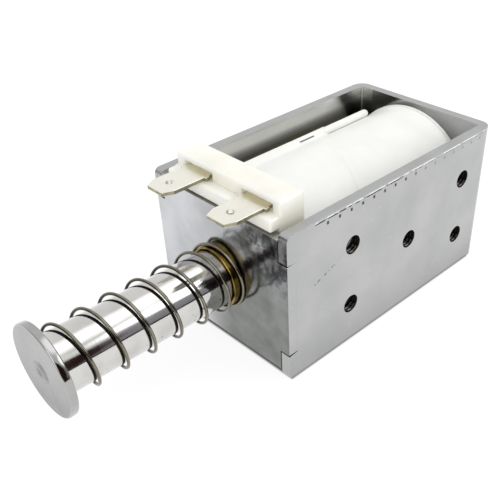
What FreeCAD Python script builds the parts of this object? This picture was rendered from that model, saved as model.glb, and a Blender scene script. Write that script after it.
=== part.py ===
import FreeCAD, Part

import math
import os
import re

import Sketcher

# Push pull solenoid: a plunger slides along X through a coil held in an open steel frame.
# X runs from the plunger head (minus) to the rear wall (plus), Z is up, the frame stands on Z = 0.
# Sizes along X are measured from the frame's front face. The origin lies under the middle of the
# whole length. Every length is in millimetres and every angle in degrees.

# Driving sizes, each written once
SIZES = {
    # Steel frame: side walls and rear wall bent from one strip, closed by a front plate
    "frame_length": 61.4,
    "frame_width": 36.7,
    "frame_height": 32.0,
    "frame_wall": 2.1,
    "bend_radius": 2.7,
    "wall_corner_radius": 1.2,
    "plate_edge_drop": 1.4,
    "ear_height": 20.0,
    # Gaps between pieces that seat on each other, and between pieces pressed together
    "seat_gap": 0.05,
    "press_gap": 0.02,
    # Tapped mounting holes in the side walls
    "mount_first_x": 17.0,
    "mount_spacing_x": 35.0,
    "mount_spacing_z": 13.8,
    "mount_drop": 0.2,
    "mount_hole_radius": 1.65,
    "mount_countersink": 0.3,
    # Plunger in its guide tube
    "plunger_radius": 5.65,
    "plunger_nose_chamfer": 0.8,
    "plunger_running_gap": 0.2,
    "tube_wall": 0.45,
    "tube_stub": 2.0,
    # Head at the outer end of the plunger
    "head_reach": 38.5,
    "head_radius": 8.85,
    "head_thickness": 1.5,
    "head_edge": 0.3,
    "rivet_radius": 2.2,
    "rivet_crown": 0.15,
    # Travel and what limits it
    "stroke": 30.0,
    "stop_gap": 0.05,
    "core_length": 8.0,
    "core_spigot_radius": 4.0,
    "core_stake_radius": 4.7,
    "core_stake_height": 0.5,
    "gap_washer_thickness": 0.5,
    "gap_washer_radius": 5.4,
    "damper_radius": 5.4,
    "damper_thickness": 1.0,
    # Push rod behind the plunger, with its retaining clip
    "rod_radius": 2.5,
    "rod_running_gap": 0.1,
    "rod_press_depth": 10.0,
    "rod_overhang": 3.6,
    "rod_tip_chamfer": 0.5,
    "rod_groove_radius": 2.0,
    "clip_thickness": 0.7,
    "clip_radius": 4.6,
    "clip_mouth": 3.2,
    # Bobbin with its terminal block
    "bobbin_end_gap": 0.1,
    "bobbin_tube_wall": 1.0,
    "flange_side_gap": 0.35,
    "front_flange_depth": 6.5,
    "rear_flange_depth": 1.2,
    "bobbin_rear_room": 1.6,
    "block_side_gap": 2.05,
    "block_rise": 4.0,
    "block_root_depth": 4.6,
    "block_set_back": 2.7,
    "block_edge_round": 0.8,
    "nose_front": 0.25,
    "nose_gap": 0.3,
    # Winding and its wraps of tape
    "flange_lip": 0.8,
    "tape_thickness": 0.35,
    "band_thickness": 0.12,
    "band_length": 20.0,
    # Blade terminals
    "blade_width": 6.3,
    "blade_thickness": 0.8,
    "blade_rise": 2.2,
    "blade_offset": 8.0,
    "left_blade_reach": 7.2,
    "right_blade_reach": 6.5,
    "blade_tip_length": 2.1,
    "blade_tip_cut": 0.9,
    "blade_hole_radius": 0.85,
    "blade_hole_from_tip": 3.5,
    "shoulder_depth": 1.0,
    "shoulder_step": 0.5,
    "blade_root_width": 3.6,
    "pocket_start": 5.3,
    "pocket_side_room": 0.6,
    "pocket_drop": 0.9,
    "pocket_rise": 0.9,
    # Leads, solder and the insulating sleeve on the outer lead
    "wire_radius": 0.25,
    "wire_bend": 1.0,
    "lead_slot_gap": 0.3,
    "lead_slot_depth": 1.2,
    "inner_lead_gap": 0.1,
    "solder_radius": 0.85,
    "sleeve_radius": 0.85,
    "sleeve_wall": 0.35,
    "sleeve_length": 43.8,
    "sleeve_angle": 57.0,
    "sleeve_lift": 0.02,
    # Return spring round the plunger
    "spring_wire": 0.6,
    "spring_inner_gap": 0.08,
    "spring_turns": 5.7,
    "spring_closing_turns": 1.1,
    "spring_closing_ratio": 0.61,
    "spring_flat_turns": 0.4,
    "spring_flat_pitch": 0.05,
    "spring_seat_gap": 0.02,
    "spring_phase": -114.0,
}

# Places that several pieces share, each worked out from the sizes and from the places above it
PLACES = {
    "axis_height": "frame_height / 2",
    "half_width": "frame_width / 2",
    "inner_half_width": "half_width - frame_wall",
    "inner_rear": "frame_length - frame_wall",
    "plate_half_width": "inner_half_width - seat_gap",
    "plate_top": "frame_height - plate_edge_drop",
    "ear_bottom": "axis_height - ear_height / 2",
    "ear_top": "axis_height + ear_height / 2",
    "mount_centre_z": "axis_height - mount_drop",
    "bore_radius": "plunger_radius + plunger_running_gap",
    "tube_radius": "bore_radius + tube_wall",
    "bobbin_bore": "tube_radius + seat_gap",
    "barrel_radius": "bobbin_bore + bobbin_tube_wall",
    "bobbin_front": "frame_wall + bobbin_end_gap",
    "bobbin_rear": "inner_rear - bobbin_rear_room",
    "tube_rear": "inner_rear - bobbin_end_gap",
    "winding_front": "bobbin_front + front_flange_depth",
    "winding_rear": "bobbin_rear - rear_flange_depth",
    "flange_radius": "inner_half_width - flange_side_gap",
    "winding_radius": "flange_radius - flange_lip",
    "tape_radius": "winding_radius + tape_thickness",
    "band_radius": "tape_radius + band_thickness",
    "band_rear": "winding_front + band_length",
    "core_radius": "bore_radius - press_gap",
    "core_face": "inner_rear - core_length",
    "stop_face": "core_face - gap_washer_thickness",
    "plunger_nose": "stop_face - stop_gap - stroke",
    "head_face": "-1 * head_reach",
    "head_back": "head_face + head_thickness",
    "rivet_face": "head_face - rivet_crown",
    "rod_socket": "plunger_nose - rod_press_depth",
    "rod_bore": "rod_radius + rod_running_gap",
    "stake_rear": "frame_length + core_stake_height",
    "damper_rear": "stake_rear + damper_thickness",
    "clip_front": "damper_rear + stop_gap",
    "clip_rear": "clip_front + clip_thickness",
    "rod_tip": "clip_rear + rod_overhang",
    "part_middle": "(rod_tip + rivet_face) / 2",
    "block_half_width": "inner_half_width - block_side_gap",
    "block_top": "frame_height + block_rise",
    "block_root": "axis_height + flange_radius - block_root_depth",
    "nose_bottom": "plate_top + nose_gap",
    "blade_top": "frame_height + blade_rise",
    "blade_bottom": "blade_top - blade_thickness",
    "lead_rise": "winding_front - lead_slot_depth / 2",
    "lead_top": "blade_top + wire_radius",
    "blade_root_end": "lead_rise - wire_bend - seat_gap",
    "solder_x": "blade_root_end - solder_radius",
    "inner_lead_y": "-1 * (barrel_radius + inner_lead_gap + wire_radius)",
    "sleeve_line": "band_radius + sleeve_lift + sleeve_radius",
    "sleeve_y": "sleeve_line * cos(sleeve_angle * 1 deg)",
    "sleeve_z": "axis_height + sleeve_line * sin(sleeve_angle * 1 deg)",
    "spring_radius": "tube_radius + spring_inner_gap + spring_wire / 2",
    "spring_front": "head_back + spring_seat_gap + spring_wire / 2",
    "spring_rear": "-1 * (spring_seat_gap + spring_wire / 2)",
    "spring_flat": "spring_flat_turns * spring_flat_pitch",
    "spring_pitch": "(spring_rear - spring_front - spring_flat)"
                    " / (spring_turns + spring_closing_turns * spring_closing_ratio)",
    "spring_closing_pitch": "spring_pitch * spring_closing_ratio",
}


def formula(text):
    """Turn every size or place named in text into its sheet cell."""
    def cell(found):
        word = found[0]
        if word in SIZES:
            return "sizes." + word
        return "places." + word if word in PLACES else word
    return re.sub(r"[a-z_]+", cell, text)


def fill_sheet(name, entries):
    """Make a sheet with one named cell for each entry."""
    sheet = DOCUMENT.addObject("Spreadsheet::Sheet", name)
    for row, (alias, content) in enumerate(entries.items(), start=1):
        sheet.set("A%d" % row, alias)
        sheet.set("B%d" % row, content)
        sheet.setAlias("B%d" % row, alias)
    DOCUMENT.recompute()
    return sheet


DOCUMENT = FreeCAD.newDocument("solenoid")
SIZE_SHEET = fill_sheet("sizes", {name: str(value) for name, value in SIZES.items()})
PLACE_SHEET = fill_sheet("places", {name: "=" + formula(text).replace("places.", "")
                                    for name, text in PLACES.items()})


def value(name):
    """Read a size or a place back from its sheet."""
    sheet = SIZE_SHEET if name in SIZES else PLACE_SHEET
    return float(sheet.get(name))


# Building steps
def new_body(label, lift="0", along="0", across="0"):
    """Start a sub-part whose own origin stands at a place measured from the frame's front face."""
    body = DOCUMENT.addObject("PartDesign::Body", label)
    body.Label = label
    body.setExpression("Placement.Base.x", formula(along + " - part_middle"))
    body.setExpression("Placement.Base.y", formula(across))
    body.setExpression("Placement.Base.z", formula(lift))
    return body


def new_sketch(body, name, plane, offset="0"):
    """Put an empty sketch on one of the body's own origin planes."""
    sketch = body.newObject("Sketcher::SketchObject", body.Label + "_" + name)
    support = next(feature for feature in body.Origin.OriginFeatures if feature.Role == plane)
    sketch.AttachmentSupport = [(support, "")]
    sketch.MapMode = "FlatFace"
    sketch.setExpression("AttachmentOffset.Base.z", formula(offset))
    return sketch


def pin_point(sketch, geometry, point, across, up):
    """Fix one point of a sketch at two expressions measured from the sketch origin."""
    for kind, place in (("DistanceX", across), ("DistanceY", up)):
        index = sketch.addConstraint(Sketcher.Constraint(kind, -1, 1, geometry, point, 1.0))
        sketch.setExpression("Constraints[%d]" % index, formula(place))


def add_outline(sketch, corners):
    """Draw a closed outline whose corners are pairs of expressions."""
    count = len(corners)
    first = sketch.GeometryCount
    loose = [FreeCAD.Vector(math.cos(turn), math.sin(turn), 0)
             for turn in (2 * math.pi * index / count for index in range(count))]
    for index in range(count):
        sketch.addGeometry(Part.LineSegment(loose[index], loose[(index + 1) % count]), False)
    for index in range(count):
        following = first + (index + 1) % count
        sketch.addConstraint(Sketcher.Constraint("Coincident", first + index, 2, following, 1))
    for index, (across, up) in enumerate(corners):
        pin_point(sketch, first + index, 1, across, up)


def add_circle(sketch, across, up, radius):
    """Draw a circle whose centre and radius are expressions."""
    index = sketch.addGeometry(Part.Circle(), False)
    pin_point(sketch, index, 3, across, up)
    constraint = sketch.addConstraint(Sketcher.Constraint("Radius", index, 1.0))
    sketch.setExpression("Constraints[%d]" % constraint, formula(radius))


def upright_box(middle, half, bottom, top):
    """Corners of an upright rectangle about a middle line."""
    left = "%s - (%s)" % (middle, half)
    right = "%s + (%s)" % (middle, half)
    return [(left, bottom), (right, bottom), (right, top), (left, top)]


def ring(front, rear, inner, outer):
    """Corners of a plain ring, as (along, radius) pairs."""
    return [(front, inner), (rear, inner), (rear, outer), (front, outer)]


def add_pad(body, sketch, length, midplane=False):
    """Thicken a sketch into material."""
    pad = body.newObject("PartDesign::Pad", sketch.Name + "_pad")
    pad.Profile = sketch
    pad.Midplane = midplane
    pad.setExpression("Length", formula(length))
    DOCUMENT.recompute()
    return pad


def add_cut(body, sketch, length, midplane=False, reverse=False):
    """Cut a sketch out of the body and make sure that it took something away."""
    before = body.Shape.Volume
    cut = body.newObject("PartDesign::Pocket", sketch.Name + "_cut")
    cut.Profile = sketch
    cut.Midplane = midplane
    cut.Reversed = reverse
    cut.setExpression("Length", formula(length))
    DOCUMENT.recompute()
    if cut.Shape.isNull() or cut.Shape.Volume >= before:
        raise RuntimeError("nothing was cut by " + cut.Name)
    return cut


def turned_body(label, outline):
    """Make a sub-part by turning (along, radius) corners about the plunger axis."""
    body = new_body(label, "axis_height")
    sketch = new_sketch(body, "outline", "XZ_Plane")
    add_outline(sketch, outline)
    turned = body.newObject("PartDesign::Revolution", label + "_turned")
    turned.Profile = sketch
    turned.ReferenceAxis = (sketch, ["H_Axis"])
    turned.Angle = 360.0
    DOCUMENT.recompute()
    return body


def dress_edges(body, kind, amount, test):
    """Fillet or chamfer the edges of the body's newest feature that pass the test."""
    base = body.Tip
    picked = ["Edge%d" % number for number, edge in enumerate(base.Shape.Edges, start=1) if test(edge)]
    dress = body.newObject("PartDesign::" + kind, base.Name + "_" + kind.lower())
    dress.Base = (base, picked)
    dress.setExpression("Radius" if kind == "Fillet" else "Size", formula(amount))
    DOCUMENT.recompute()


def near(first, second):
    """Tell whether two lengths are the same."""
    return abs(first - second) < 1e-4


def is_upright_at(edge, along):
    """Tell whether an edge runs along Z at one place along X."""
    box = edge.BoundBox
    return near(box.XMin, along) and near(box.XMax, along) and near(box.YLength, 0)


def is_crosswise_at(edge, along):
    """Tell whether an edge runs along Y at one place along X."""
    box = edge.BoundBox
    return near(box.XMin, along) and near(box.XMax, along) and near(box.ZLength, 0)


# Frame: a strip bent into a U, its open end towards the plunger head
def make_frame():
    body = new_body("frame_yoke")
    strip = new_sketch(body, "strip", "XY_Plane")
    add_outline(strip, [
        ("0", "-1 * half_width"),
        ("frame_length", "-1 * half_width"),
        ("frame_length", "half_width"),
        ("0", "half_width"),
        ("0", "inner_half_width"),
        ("inner_rear", "inner_half_width"),
        ("inner_rear", "-1 * inner_half_width"),
        ("0", "-1 * inner_half_width"),
    ])
    add_pad(body, strip, "frame_height")
    dress_edges(body, "Fillet", "bend_radius", lambda edge: is_upright_at(edge, value("frame_length")))
    dress_edges(body, "Fillet", "bend_radius - frame_wall",
                lambda edge: is_upright_at(edge, value("inner_rear")) and not near(edge.BoundBox.ZLength, 0))
    dress_edges(body, "Fillet", "wall_corner_radius", lambda edge: is_crosswise_at(edge, 0))
    cut_ear_notches(body)
    cut_mounting_holes(body)
    cut_core_hole(body)
    return body


def cut_ear_notches(body):
    """Open both side walls at the front for the front plate's ears."""
    notch = new_sketch(body, "ear_notch", "XZ_Plane")
    add_outline(notch, [
        ("-1 * frame_wall", "ear_bottom - seat_gap"),
        ("frame_wall + seat_gap", "ear_bottom - seat_gap"),
        ("frame_wall + seat_gap", "ear_top + seat_gap"),
        ("-1 * frame_wall", "ear_top + seat_gap"),
    ])
    add_cut(body, notch, "frame_width * 2", midplane=True)


def cut_mounting_holes(body):
    """Drill four holes on a rectangle and one at its centre through both side walls."""
    holes = new_sketch(body, "mount_holes", "XZ_Plane")
    for along in ("mount_first_x", "mount_first_x + mount_spacing_x"):
        for side in ("-", "+"):
            add_circle(holes, along, "mount_centre_z %s mount_spacing_z / 2" % side, "mount_hole_radius")
    add_circle(holes, "mount_first_x + mount_spacing_x / 2", "mount_centre_z", "mount_hole_radius")
    add_cut(body, holes, "frame_width * 2", midplane=True)

    def is_outer_rim(edge):
        return (isinstance(edge.Curve, Part.Circle)
                and near(edge.Curve.Radius, value("mount_hole_radius"))
                and near(abs(edge.Curve.Center.y), value("half_width")))

    dress_edges(body, "Chamfer", "mount_countersink", is_outer_rim)


def cut_core_hole(body):
    """Open the rear wall for the core's spigot."""
    spigot = new_sketch(body, "core_hole", "YZ_Plane", "inner_rear - frame_wall")
    add_circle(spigot, "0", "axis_height", "core_spigot_radius + press_gap")
    add_cut(body, spigot, "frame_wall * 3", reverse=True)


# Front plate: its ears sit in the notches of the side walls, flush outside
def make_front_plate():
    body = new_body("front_plate")
    face = new_sketch(body, "face", "YZ_Plane")
    right_side = [
        ("plate_half_width", "plate_edge_drop"),
        ("plate_half_width", "ear_bottom"),
        ("half_width", "ear_bottom"),
        ("half_width", "ear_top"),
        ("plate_half_width", "ear_top"),
        ("plate_half_width", "plate_top"),
    ]
    left_side = [("-1 * " + across, up) for across, up in reversed(right_side)]
    add_outline(face, right_side + left_side)
    add_circle(face, "0", "axis_height", "tube_radius + press_gap")
    add_pad(body, face, "frame_wall")
    return body


# Bobbin: barrel, round rear flange, deep front flange that rises into the terminal block
def make_bobbin():
    body = turned_body("bobbin", [
        ("bobbin_front", "bobbin_bore"),
        ("bobbin_rear", "bobbin_bore"),
        ("bobbin_rear", "flange_radius"),
        ("winding_rear", "flange_radius"),
        ("winding_rear", "barrel_radius"),
        ("winding_front", "barrel_radius"),
        ("winding_front", "flange_radius"),
        ("bobbin_front", "flange_radius"),
    ])
    block = new_sketch(body, "block", "XZ_Plane")
    add_outline(block, [
        ("bobbin_front", "block_root - axis_height"),
        ("winding_front", "block_root - axis_height"),
        ("winding_front", "block_top - axis_height"),
        ("block_set_back", "block_top - axis_height"),
        ("block_set_back", "blade_bottom - axis_height"),
        ("nose_front", "blade_bottom - axis_height"),
        ("nose_front", "nose_bottom - axis_height"),
        ("bobbin_front", "nose_bottom - axis_height"),
    ])
    add_pad(body, block, "block_half_width * 2", midplane=True)
    top = value("block_top") - value("axis_height")
    dress_edges(body, "Fillet", "block_edge_round",
                lambda edge: near(edge.BoundBox.ZMin, top) and near(edge.BoundBox.YLength, 0))
    for side, middle in (("left", "blade_offset"), ("right", "-1 * blade_offset")):
        cut_blade_slot(body, side, middle)
    cut_lead_groove(body, "inner", "inner_lead_y", "0")
    cut_lead_groove(body, "outer", "sleeve_y", "sleeve_z - axis_height - wire_radius - lead_slot_gap")
    return body


def cut_blade_slot(body, side, middle):
    """Open the slot that holds one blade and the solder pocket behind it."""
    slot = new_sketch(body, side + "_slot", "YZ_Plane", "nose_front - frame_wall")
    add_outline(slot, upright_box(middle, "blade_width / 2 + seat_gap",
                                  "blade_bottom - axis_height", "blade_top - axis_height + seat_gap"))
    add_cut(body, slot, "pocket_start - nose_front + frame_wall", reverse=True)
    pocket = new_sketch(body, side + "_pocket", "YZ_Plane", "pocket_start")
    add_outline(pocket, upright_box(middle, "blade_width / 2 + pocket_side_room",
                                    "blade_bottom - axis_height - pocket_drop",
                                    "blade_top - axis_height + pocket_rise"))
    add_cut(body, pocket, "front_flange_depth * 2", reverse=True)


def cut_lead_groove(body, name, middle, bottom):
    """Open the groove in the winding side of the front flange that takes one lead up to its blade."""
    groove = new_sketch(body, name + "_groove", "YZ_Plane", "winding_front - lead_slot_depth")
    add_outline(groove, upright_box(middle, "wire_radius + lead_slot_gap", bottom, "blade_bottom - axis_height"))
    add_cut(body, groove, "lead_slot_depth * 2", reverse=True)


# Winding, the tape over it, the band of a second turn of tape, and the sleeve on the outer lead
def make_winding():
    return turned_body("coil_winding", ring("winding_front", "winding_rear", "barrel_radius", "winding_radius"))


def make_tape():
    return turned_body("coil_tape", ring("winding_front", "winding_rear", "winding_radius", "tape_radius"))


def make_tape_band():
    return turned_body("coil_tape_band", ring("winding_front", "band_rear", "tape_radius", "band_radius"))


def make_sleeve():
    body = new_body("lead_sleeve", "sleeve_z", "winding_front", "sleeve_y")
    wall = new_sketch(body, "wall", "YZ_Plane")
    add_circle(wall, "0", "0", "sleeve_radius")
    add_circle(wall, "0", "0", "sleeve_radius - sleeve_wall")
    add_pad(body, wall, "sleeve_length")
    return body


# Blade terminals lie on the block's nose and run back through it into the solder pockets
def make_blade(label, middle, reach):
    body = new_body(label, "blade_bottom")
    side = [
        ("-1 * " + reach, "blade_width / 2 - blade_tip_cut"),
        ("blade_tip_length - " + reach, "blade_width / 2"),
        ("block_set_back - shoulder_depth", "blade_width / 2"),
        ("block_set_back - shoulder_depth", "blade_width / 2 + shoulder_step"),
        ("block_set_back", "blade_width / 2 + shoulder_step"),
        ("block_set_back", "blade_width / 2"),
        ("pocket_start", "blade_width / 2"),
        ("pocket_start", "blade_root_width / 2"),
        ("blade_root_end", "blade_root_width / 2"),
    ]
    left_side = [(along, "%s + (%s)" % (middle, away)) for along, away in side]
    right_side = [(along, "%s - (%s)" % (middle, away)) for along, away in reversed(side)]
    outline = new_sketch(body, "outline", "XY_Plane")
    add_outline(outline, left_side + right_side)
    add_circle(outline, "blade_hole_from_tip - " + reach, middle, "blade_hole_radius")
    add_pad(body, outline, "blade_thickness")
    return body


# Brass guide tube, from its stub in front of the plate to the rear wall
def make_guide_tube():
    return turned_body("guide_tube", ring("-1 * tube_stub", "tube_rear", "bore_radius", "tube_radius"))


# Fixed core: closes the rear of the tube, staked over outside the rear wall
def make_core():
    return turned_body("fixed_core", [
        ("core_face", "rod_bore"),
        ("stake_rear", "rod_bore"),
        ("stake_rear", "core_stake_radius"),
        ("frame_length", "core_stake_radius"),
        ("frame_length", "core_spigot_radius"),
        ("inner_rear", "core_spigot_radius"),
        ("inner_rear", "core_radius"),
        ("core_face", "core_radius"),
    ])


def make_gap_washer():
    return turned_body("gap_washer", ring("stop_face", "core_face", "rod_bore", "gap_washer_radius"))


def make_damper():
    return turned_body("stop_damper", ring("stake_rear", "damper_rear", "rod_bore", "damper_radius"))


# Plunger: rivet spigot in front, socket for the push rod behind
def make_plunger():
    return turned_body("plunger", [
        ("rivet_face", "0"),
        ("rod_socket", "0"),
        ("rod_socket", "rod_radius + press_gap"),
        ("plunger_nose", "rod_radius + press_gap"),
        ("plunger_nose", "plunger_radius - plunger_nose_chamfer"),
        ("plunger_nose - plunger_nose_chamfer", "plunger_radius"),
        ("head_back", "plunger_radius"),
        ("head_back", "rivet_radius"),
        ("head_face", "rivet_radius"),
        ("rivet_face", "rivet_radius - rivet_crown"),
    ])


def make_head():
    return turned_body("plunger_head", [
        ("head_face", "rivet_radius + press_gap"),
        ("head_back", "rivet_radius + press_gap"),
        ("head_back", "head_radius - head_edge"),
        ("head_back - head_edge", "head_radius"),
        ("head_face + head_edge", "head_radius"),
        ("head_face", "head_radius - head_edge"),
    ])


# Push rod: pressed into the plunger, led through the core, grooved for its clip
def make_push_rod():
    return turned_body("push_rod", [
        ("rod_socket", "0"),
        ("rod_tip", "0"),
        ("rod_tip", "rod_radius - rod_tip_chamfer"),
        ("rod_tip - rod_tip_chamfer", "rod_radius"),
        ("clip_rear", "rod_radius"),
        ("clip_rear", "rod_groove_radius"),
        ("clip_front", "rod_groove_radius"),
        ("clip_front", "rod_radius"),
        ("rod_socket", "rod_radius"),
    ])


def make_clip():
    body = new_body("retaining_clip", "axis_height")
    face = new_sketch(body, "face", "YZ_Plane", "clip_front")
    add_circle(face, "0", "0", "clip_radius")
    add_circle(face, "0", "0", "rod_groove_radius + press_gap")
    add_pad(body, face, "clip_thickness")
    mouth = new_sketch(body, "mouth", "YZ_Plane", "clip_front - clip_thickness")
    add_outline(mouth, upright_box("0", "clip_mouth / 2", "clip_radius * -2", "0"))
    add_cut(body, mouth, "clip_thickness * 3", reverse=True)
    return body


# Pieces of round wire
def add_shape(label, shape):
    """Make a sub-part of a ready shape, placed like the bodies."""
    feature = DOCUMENT.addObject("Part::Feature", label)
    feature.Label = label
    feature.Shape = shape
    feature.setExpression("Placement.Base.x", formula("-1 * part_middle"))
    return feature


def bent_wire(points, radius, bend):
    """Round wire along straight runs joined by tangent arcs of radius bend."""
    edges = []
    start = points[0]
    for previous, corner, following in zip(points, points[1:], points[2:]):
        back = (previous - corner).normalize()
        ahead = (following - corner).normalize()
        trim = bend / math.tan(back.getAngle(ahead) / 2)
        inward = (back + ahead).normalize()
        centre = corner + inward * math.hypot(trim, bend)
        first = corner + back * trim
        last = corner + ahead * trim
        edges.append(Part.LineSegment(start, first).toShape())
        edges.append(Part.Arc(first, centre - inward * bend, last).toShape())
        start = last
    edges.append(Part.LineSegment(start, points[-1]).toShape())
    profile = Part.Wire([Part.makeCircle(radius, points[0], points[1] - points[0])])
    return Part.Wire(edges).makePipeShell([profile], True, True)


# Leads of thin copper wire from the winding to the blades, each with its solder
def make_leads():
    rise_x = value("lead_rise")
    end_x = value("solder_x")
    top_z = value("lead_top")
    inner_y = value("inner_lead_y")
    outer_y = value("sleeve_y")
    sleeve_end = value("winding_front") + value("sleeve_length") - value("sleeve_radius")
    inner_route = [
        FreeCAD.Vector(rise_x, inner_y, value("axis_height")),
        FreeCAD.Vector(rise_x, inner_y, top_z),
        FreeCAD.Vector(end_x, inner_y, top_z),
    ]
    outer_route = [
        FreeCAD.Vector(sleeve_end, outer_y, value("sleeve_z")),
        FreeCAD.Vector(rise_x, outer_y, value("sleeve_z")),
        FreeCAD.Vector(rise_x, outer_y, top_z),
        FreeCAD.Vector(end_x, outer_y, top_z),
    ]
    made = []
    for lead_label, solder_label, route in (("lead_start", "solder_right", inner_route),
                                            ("lead_finish", "solder_left", outer_route)):
        lead = bent_wire(route, value("wire_radius"), value("wire_bend"))
        foot = FreeCAD.Vector(end_x, route[-1].y, value("blade_top"))
        dome = Part.makeSphere(value("solder_radius"), foot, FreeCAD.Vector(0, 0, 1), 0, 90, 360)
        made.append(add_shape(lead_label, lead))
        made.append(add_shape(solder_label, dome.cut(lead)))
    return made


# Return spring: even coils from the head, then closer ones, the last of them flat on the front plate
def helix_edges(start, pitch, turns, angle):
    """One run of coils as edges of half a turn or less, from an angle about the plunger axis."""
    count = math.ceil(turns * 2)
    share = turns / count
    edges = []
    for index in range(count):
        coil = Part.makeHelix(pitch, pitch * share, value("spring_radius"))
        coil.rotate(FreeCAD.Vector(), FreeCAD.Vector(0, 1, 0), 90)
        coil.rotate(FreeCAD.Vector(), FreeCAD.Vector(1, 0, 0), angle + 90 + 360 * share * index)
        coil.translate(FreeCAD.Vector(start + pitch * share * index, 0, value("axis_height")))
        edges.extend(coil.Edges)
    return edges


def make_spring():
    place = value("spring_front")
    angle = value("spring_phase")
    edges = []
    for pitch, turns in ((value("spring_pitch"), value("spring_turns")),
                         (value("spring_closing_pitch"), value("spring_closing_turns")),
                         (value("spring_flat_pitch"), value("spring_flat_turns"))):
        edges += helix_edges(place, pitch, turns, angle)
        place += pitch * turns
        angle += 360 * turns
    path = Part.Wire(edges)
    first = path.Edges[0]
    profile = Part.Wire([Part.makeCircle(value("spring_wire") / 2, first.valueAt(first.FirstParameter),
                                         first.tangentAt(first.FirstParameter))])
    return add_shape("return_spring", path.makePipeShell([profile], True, True))


def make_all():
    """Build every sub-part and return them in a list."""
    made = [
        make_frame(),
        make_front_plate(),
        make_bobbin(),
        make_winding(),
        make_tape(),
        make_tape_band(),
        make_sleeve(),
        make_blade("terminal_left", "blade_offset", "left_blade_reach"),
        make_blade("terminal_right", "-1 * blade_offset", "right_blade_reach"),
        make_guide_tube(),
        make_core(),
        make_gap_washer(),
        make_damper(),
        make_plunger(),
        make_head(),
        make_push_rod(),
        make_clip(),
        make_spring(),
    ]
    return made + make_leads()


def write_parts(sub_parts):
    """Stop on any failed feature or bad shape, then write one file for each sub-part."""
    DOCUMENT.recompute()
    for feature in DOCUMENT.Objects:
        if "Invalid" in feature.State or "Error" in feature.State:
            raise RuntimeError("failed feature " + feature.Name)
    for sub_part in sub_parts:
        if sub_part.Shape.isNull() or not sub_part.Shape.isValid():
            raise RuntimeError("bad shape " + sub_part.Label)
    os.makedirs("parts", exist_ok=True)
    for sub_part in sub_parts:
        sub_part.Shape.exportStep("parts/%s.step" % sub_part.Label)


write_parts(make_all())
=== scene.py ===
"""Push pull solenoid: an open steel frame, a taped coil and a sprung chrome plunger.

Sizes are in millimetres and angles in degrees. Distances along the solenoid start at the frame's front face, those
across it at the plunger's axis, with the left side positive, and heights at the table.
"""

import logging
import math
from abc import ABC, abstractmethod
from dataclasses import dataclass
from enum import Enum
from typing import Any, Callable, Sequence

import bmesh
import bpy
from mathutils import Matrix, Vector, noise

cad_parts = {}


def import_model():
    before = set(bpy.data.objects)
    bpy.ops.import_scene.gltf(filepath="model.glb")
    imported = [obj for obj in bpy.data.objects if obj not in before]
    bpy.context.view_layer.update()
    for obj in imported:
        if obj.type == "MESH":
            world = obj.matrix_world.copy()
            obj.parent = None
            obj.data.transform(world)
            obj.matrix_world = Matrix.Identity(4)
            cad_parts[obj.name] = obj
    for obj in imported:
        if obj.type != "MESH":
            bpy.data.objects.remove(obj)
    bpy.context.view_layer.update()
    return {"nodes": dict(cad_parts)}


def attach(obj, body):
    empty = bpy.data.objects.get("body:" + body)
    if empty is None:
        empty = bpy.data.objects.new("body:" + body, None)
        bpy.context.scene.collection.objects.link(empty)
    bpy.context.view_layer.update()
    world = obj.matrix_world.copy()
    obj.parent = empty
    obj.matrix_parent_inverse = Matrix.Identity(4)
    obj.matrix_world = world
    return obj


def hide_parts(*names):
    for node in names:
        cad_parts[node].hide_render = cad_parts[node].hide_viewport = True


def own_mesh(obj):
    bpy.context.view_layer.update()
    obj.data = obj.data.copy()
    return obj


LOG = logging.getLogger("solenoid")
MM = 0.001
FRONT_X = -14.3  # front face of the frame along the shared frame's X
AXIS_Z = 16.0  # height of the plunger's axis
RIGHT_FACE = -18.25  # just inside the right wall's outer face
SHARP = math.radians(60)  # edges that turn more than this get broken
DOME_ANGLES = (22.5, 45, 67.5, 85)  # rings of a tube's rounded end, in degrees

Point = tuple[float, float]
Place = tuple[float, float, float]
Socket = bpy.types.NodeSocket


class Body(Enum):
    """The two rigid bodies of the solenoid."""

    STATOR = "stator"
    PLUNGER = "plunger_body"


class Kind(Enum):
    """What a node does: Blender's name for it, and the options that make it do so."""

    ADD = "Math", ("operation", "ADD")
    SUBTRACT = "Math", ("operation", "SUBTRACT")
    MULTIPLY = "Math", ("operation", "MULTIPLY")
    ABSOLUTE = "Math", ("operation", "ABSOLUTE")
    LESS = "Math", ("operation", "LESS_THAN")
    GREATER = "Math", ("operation", "GREATER_THAN")
    LARGER = "Math", ("operation", "MAXIMUM")
    REMAINDER = "Math", ("operation", "MODULO")
    ROOT = "Math", ("operation", "SQRT")
    ANGLE = "Math", ("operation", "ARCTAN2")
    TOWARDS = "VectorMath", ("operation", "DOT_PRODUCT")
    RANGE = "MapRange",
    SOFT_RANGE = "MapRange", ("interpolation_type", "SMOOTHSTEP")
    BLEND = "Mix", ("data_type", "RGBA")
    RAMP = "ValToRGB",
    NOISE = "TexNoise",
    STREAKS = "TexNoise", ("noise_dimensions", "1D")
    CELLS = "TexVoronoi",
    BUMP = "Bump",
    PLACE = "TexCoord",
    AXES = "SeparateXYZ",
    RAY = "LightPath",
    SHADER = "BsdfPrincipled",
    SURFACE = "OutputMaterial",
    SKY = "Background",
    WORLD = "OutputWorld",


# Colour and node helpers
def linear(code: str) -> tuple[float, float, float, float]:
    """Turn an sRGB hex colour into linear light.

    Args:
        code: Colour such as "#C8CCD0".

    Returns:
        Red, green, blue and an alpha of one.
    """
    channels = [int(code[at:at + 2], 16) / 255 for at in (1, 3, 5)]
    red, green, blue = [c / 12.92 if c <= 0.04045 else ((c + 0.055) / 1.055) ** 2.4 for c in channels]
    return red, green, blue, 1.0


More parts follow.
